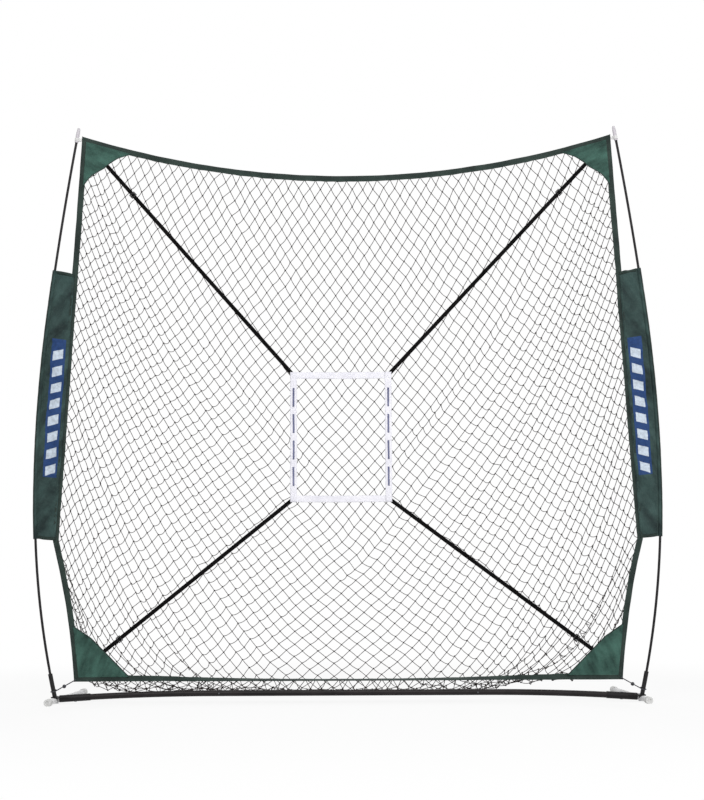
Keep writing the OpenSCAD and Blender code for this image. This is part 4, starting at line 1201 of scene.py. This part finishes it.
# ---- stage ----
FLOOR_GLOW = 0.85     # share of plain white near the object, where the floor keeps its shadow
FLOOR_NEAR, FLOOR_FAR = 1.4, 3.0
FLOOR_HALF = 30
AMBIENT = 0.37
LAMPS = (("key", (-1.0, -5.3, 5.2), 2.4, 215), ("fill", (4.4, -4.0, 2.2), 3.0, 105),
         ("back", (0.5, 4.5, 4.5), 3.0, 110))
LAMPS_AIM = (0, 0, 1)

CAMERA_BACK = 6.0     # from the plane of the net
CAMERA_Z = 0.5
CAMERA_X = 15 * MM
CAMERA_TILT, CAMERA_ROLL = 5.9, 0.25
LONG_SIDE = 800
FOCAL_PIXELS = 1608
SENSOR = 36


def camera_sees(n, *rays):
    """1 for a ray of the camera or of the named kinds, as a socket."""
    path = n.add("LightPath").outputs
    seen = path["Is Camera Ray"]
    for kind in rays:
        seen = n.maths("MAXIMUM", seen, path[kind])
    return seen


def mix_surfaces(n, share, first, second, output):
    """The surface of an output: the second shader by its share, over the first."""
    mixed = n.add("MixShader", Fac=share)
    n.link(first, mixed.inputs[1])
    n.link(second, mixed.inputs[2])
    n.link(mixed.outputs[0], n.tree.nodes[output].inputs["Surface"])


def make_floor():
    """A pale floor with the object's shadow near it, which turns plain white further off."""
    points = [(x * FLOOR_HALF, y * FLOOR_HALF, 0) for x, y in ((-1, -1), (1, -1), (1, 1), (-1, 1))]
    floor = mesh_object("floor", points, [(0, 1, 2, 3)], body=None)
    n = Nodes("floor_white", Base_Color=rgb(244, 244, 244), Roughness=0.9, Specular_IOR_Level=0.1)
    away = n.out("Value", "VectorMath", {"operation": "LENGTH"}, Vector=n.coords())
    share = n.out("Result", "MapRange", {"interpolation_type": "SMOOTHSTEP"}, Value=away,
                  From_Min=FLOOR_NEAR, From_Max=FLOOR_FAR, To_Min=FLOOR_GLOW, To_Max=1.0)
    glow = n.out("Emission", "Emission", Color=WHITE, Strength=1.0)
    mix_surfaces(n, n.times(share, camera_sees(n, "Is Glossy Ray")), n.shader.outputs["BSDF"], glow,
                 "Material Output")
    floor.data.materials.append(n.owner)


def make_surround():
    """A plain level of light from all round, which looks white itself."""
    world = bpy.data.worlds.new("surround")
    bpy.context.scene.world = world
    n = Nodes(world)
    plain = n.out("Background", "Background", Color=WHITE, Strength=AMBIENT)
    white = n.out("Background", "Background", Color=WHITE, Strength=1.0)
    mix_surfaces(n, camera_sees(n, "Is Glossy Ray", "Is Transmission Ray"), plain, white, "World Output")


def make_lamps():
    for name, place, size, power in LAMPS:
        light = bpy.data.lights.new(name, "AREA")
        light.energy = power
        light.size = size
        lamp = add_object(name, light)
        lamp.location = place
        lamp.rotation_euler = (Vector(LAMPS_AIM) - Vector(place)).to_track_quat("-Z", "Y").to_euler()


def make_camera():
    data = bpy.data.cameras.new("camera")
    data.sensor_width = SENSOR
    data.sensor_fit = "AUTO"
    data.lens = FOCAL_PIXELS / LONG_SIDE * SENSOR
    data.clip_end = 100
    camera = add_object("camera", data)
    camera.location = (CAMERA_X, PLANE_Y - CAMERA_BACK, CAMERA_Z)
    camera.rotation_euler = (math.radians(90 + CAMERA_TILT), math.radians(CAMERA_ROLL), 0)
    bpy.context.scene.camera = camera


# ---- all of it ----
bpy.context.scene.view_settings.view_transform = "Standard"
make_camera()
make_lamps()
make_surround()
make_floor()
paint_nodes()
for side in SIDES:
    make_bungee(side)
make_net()
for seed, name in enumerate(("top", "bottom", "left", "right")):
    make_border(name, 10 * seed)
patches = {(side, end): make_patch(side, end) for side in SIDES for end in ENDS}
panels = {side: make_panel(side) for side in SIDES}
crumple([*patches.values(), *panels.values()])
for (side, end), made in patches.items():
    finish_patch(made[0], side, end)
for side, made in panels.items():
    finish_panel(made[0], side)
make_zone()
for side in SIDES:
    for end in ENDS:
        make_strap(side, end)
        make_slider(side, end)
    make_corner_loop(side)
    make_button_spring(side)
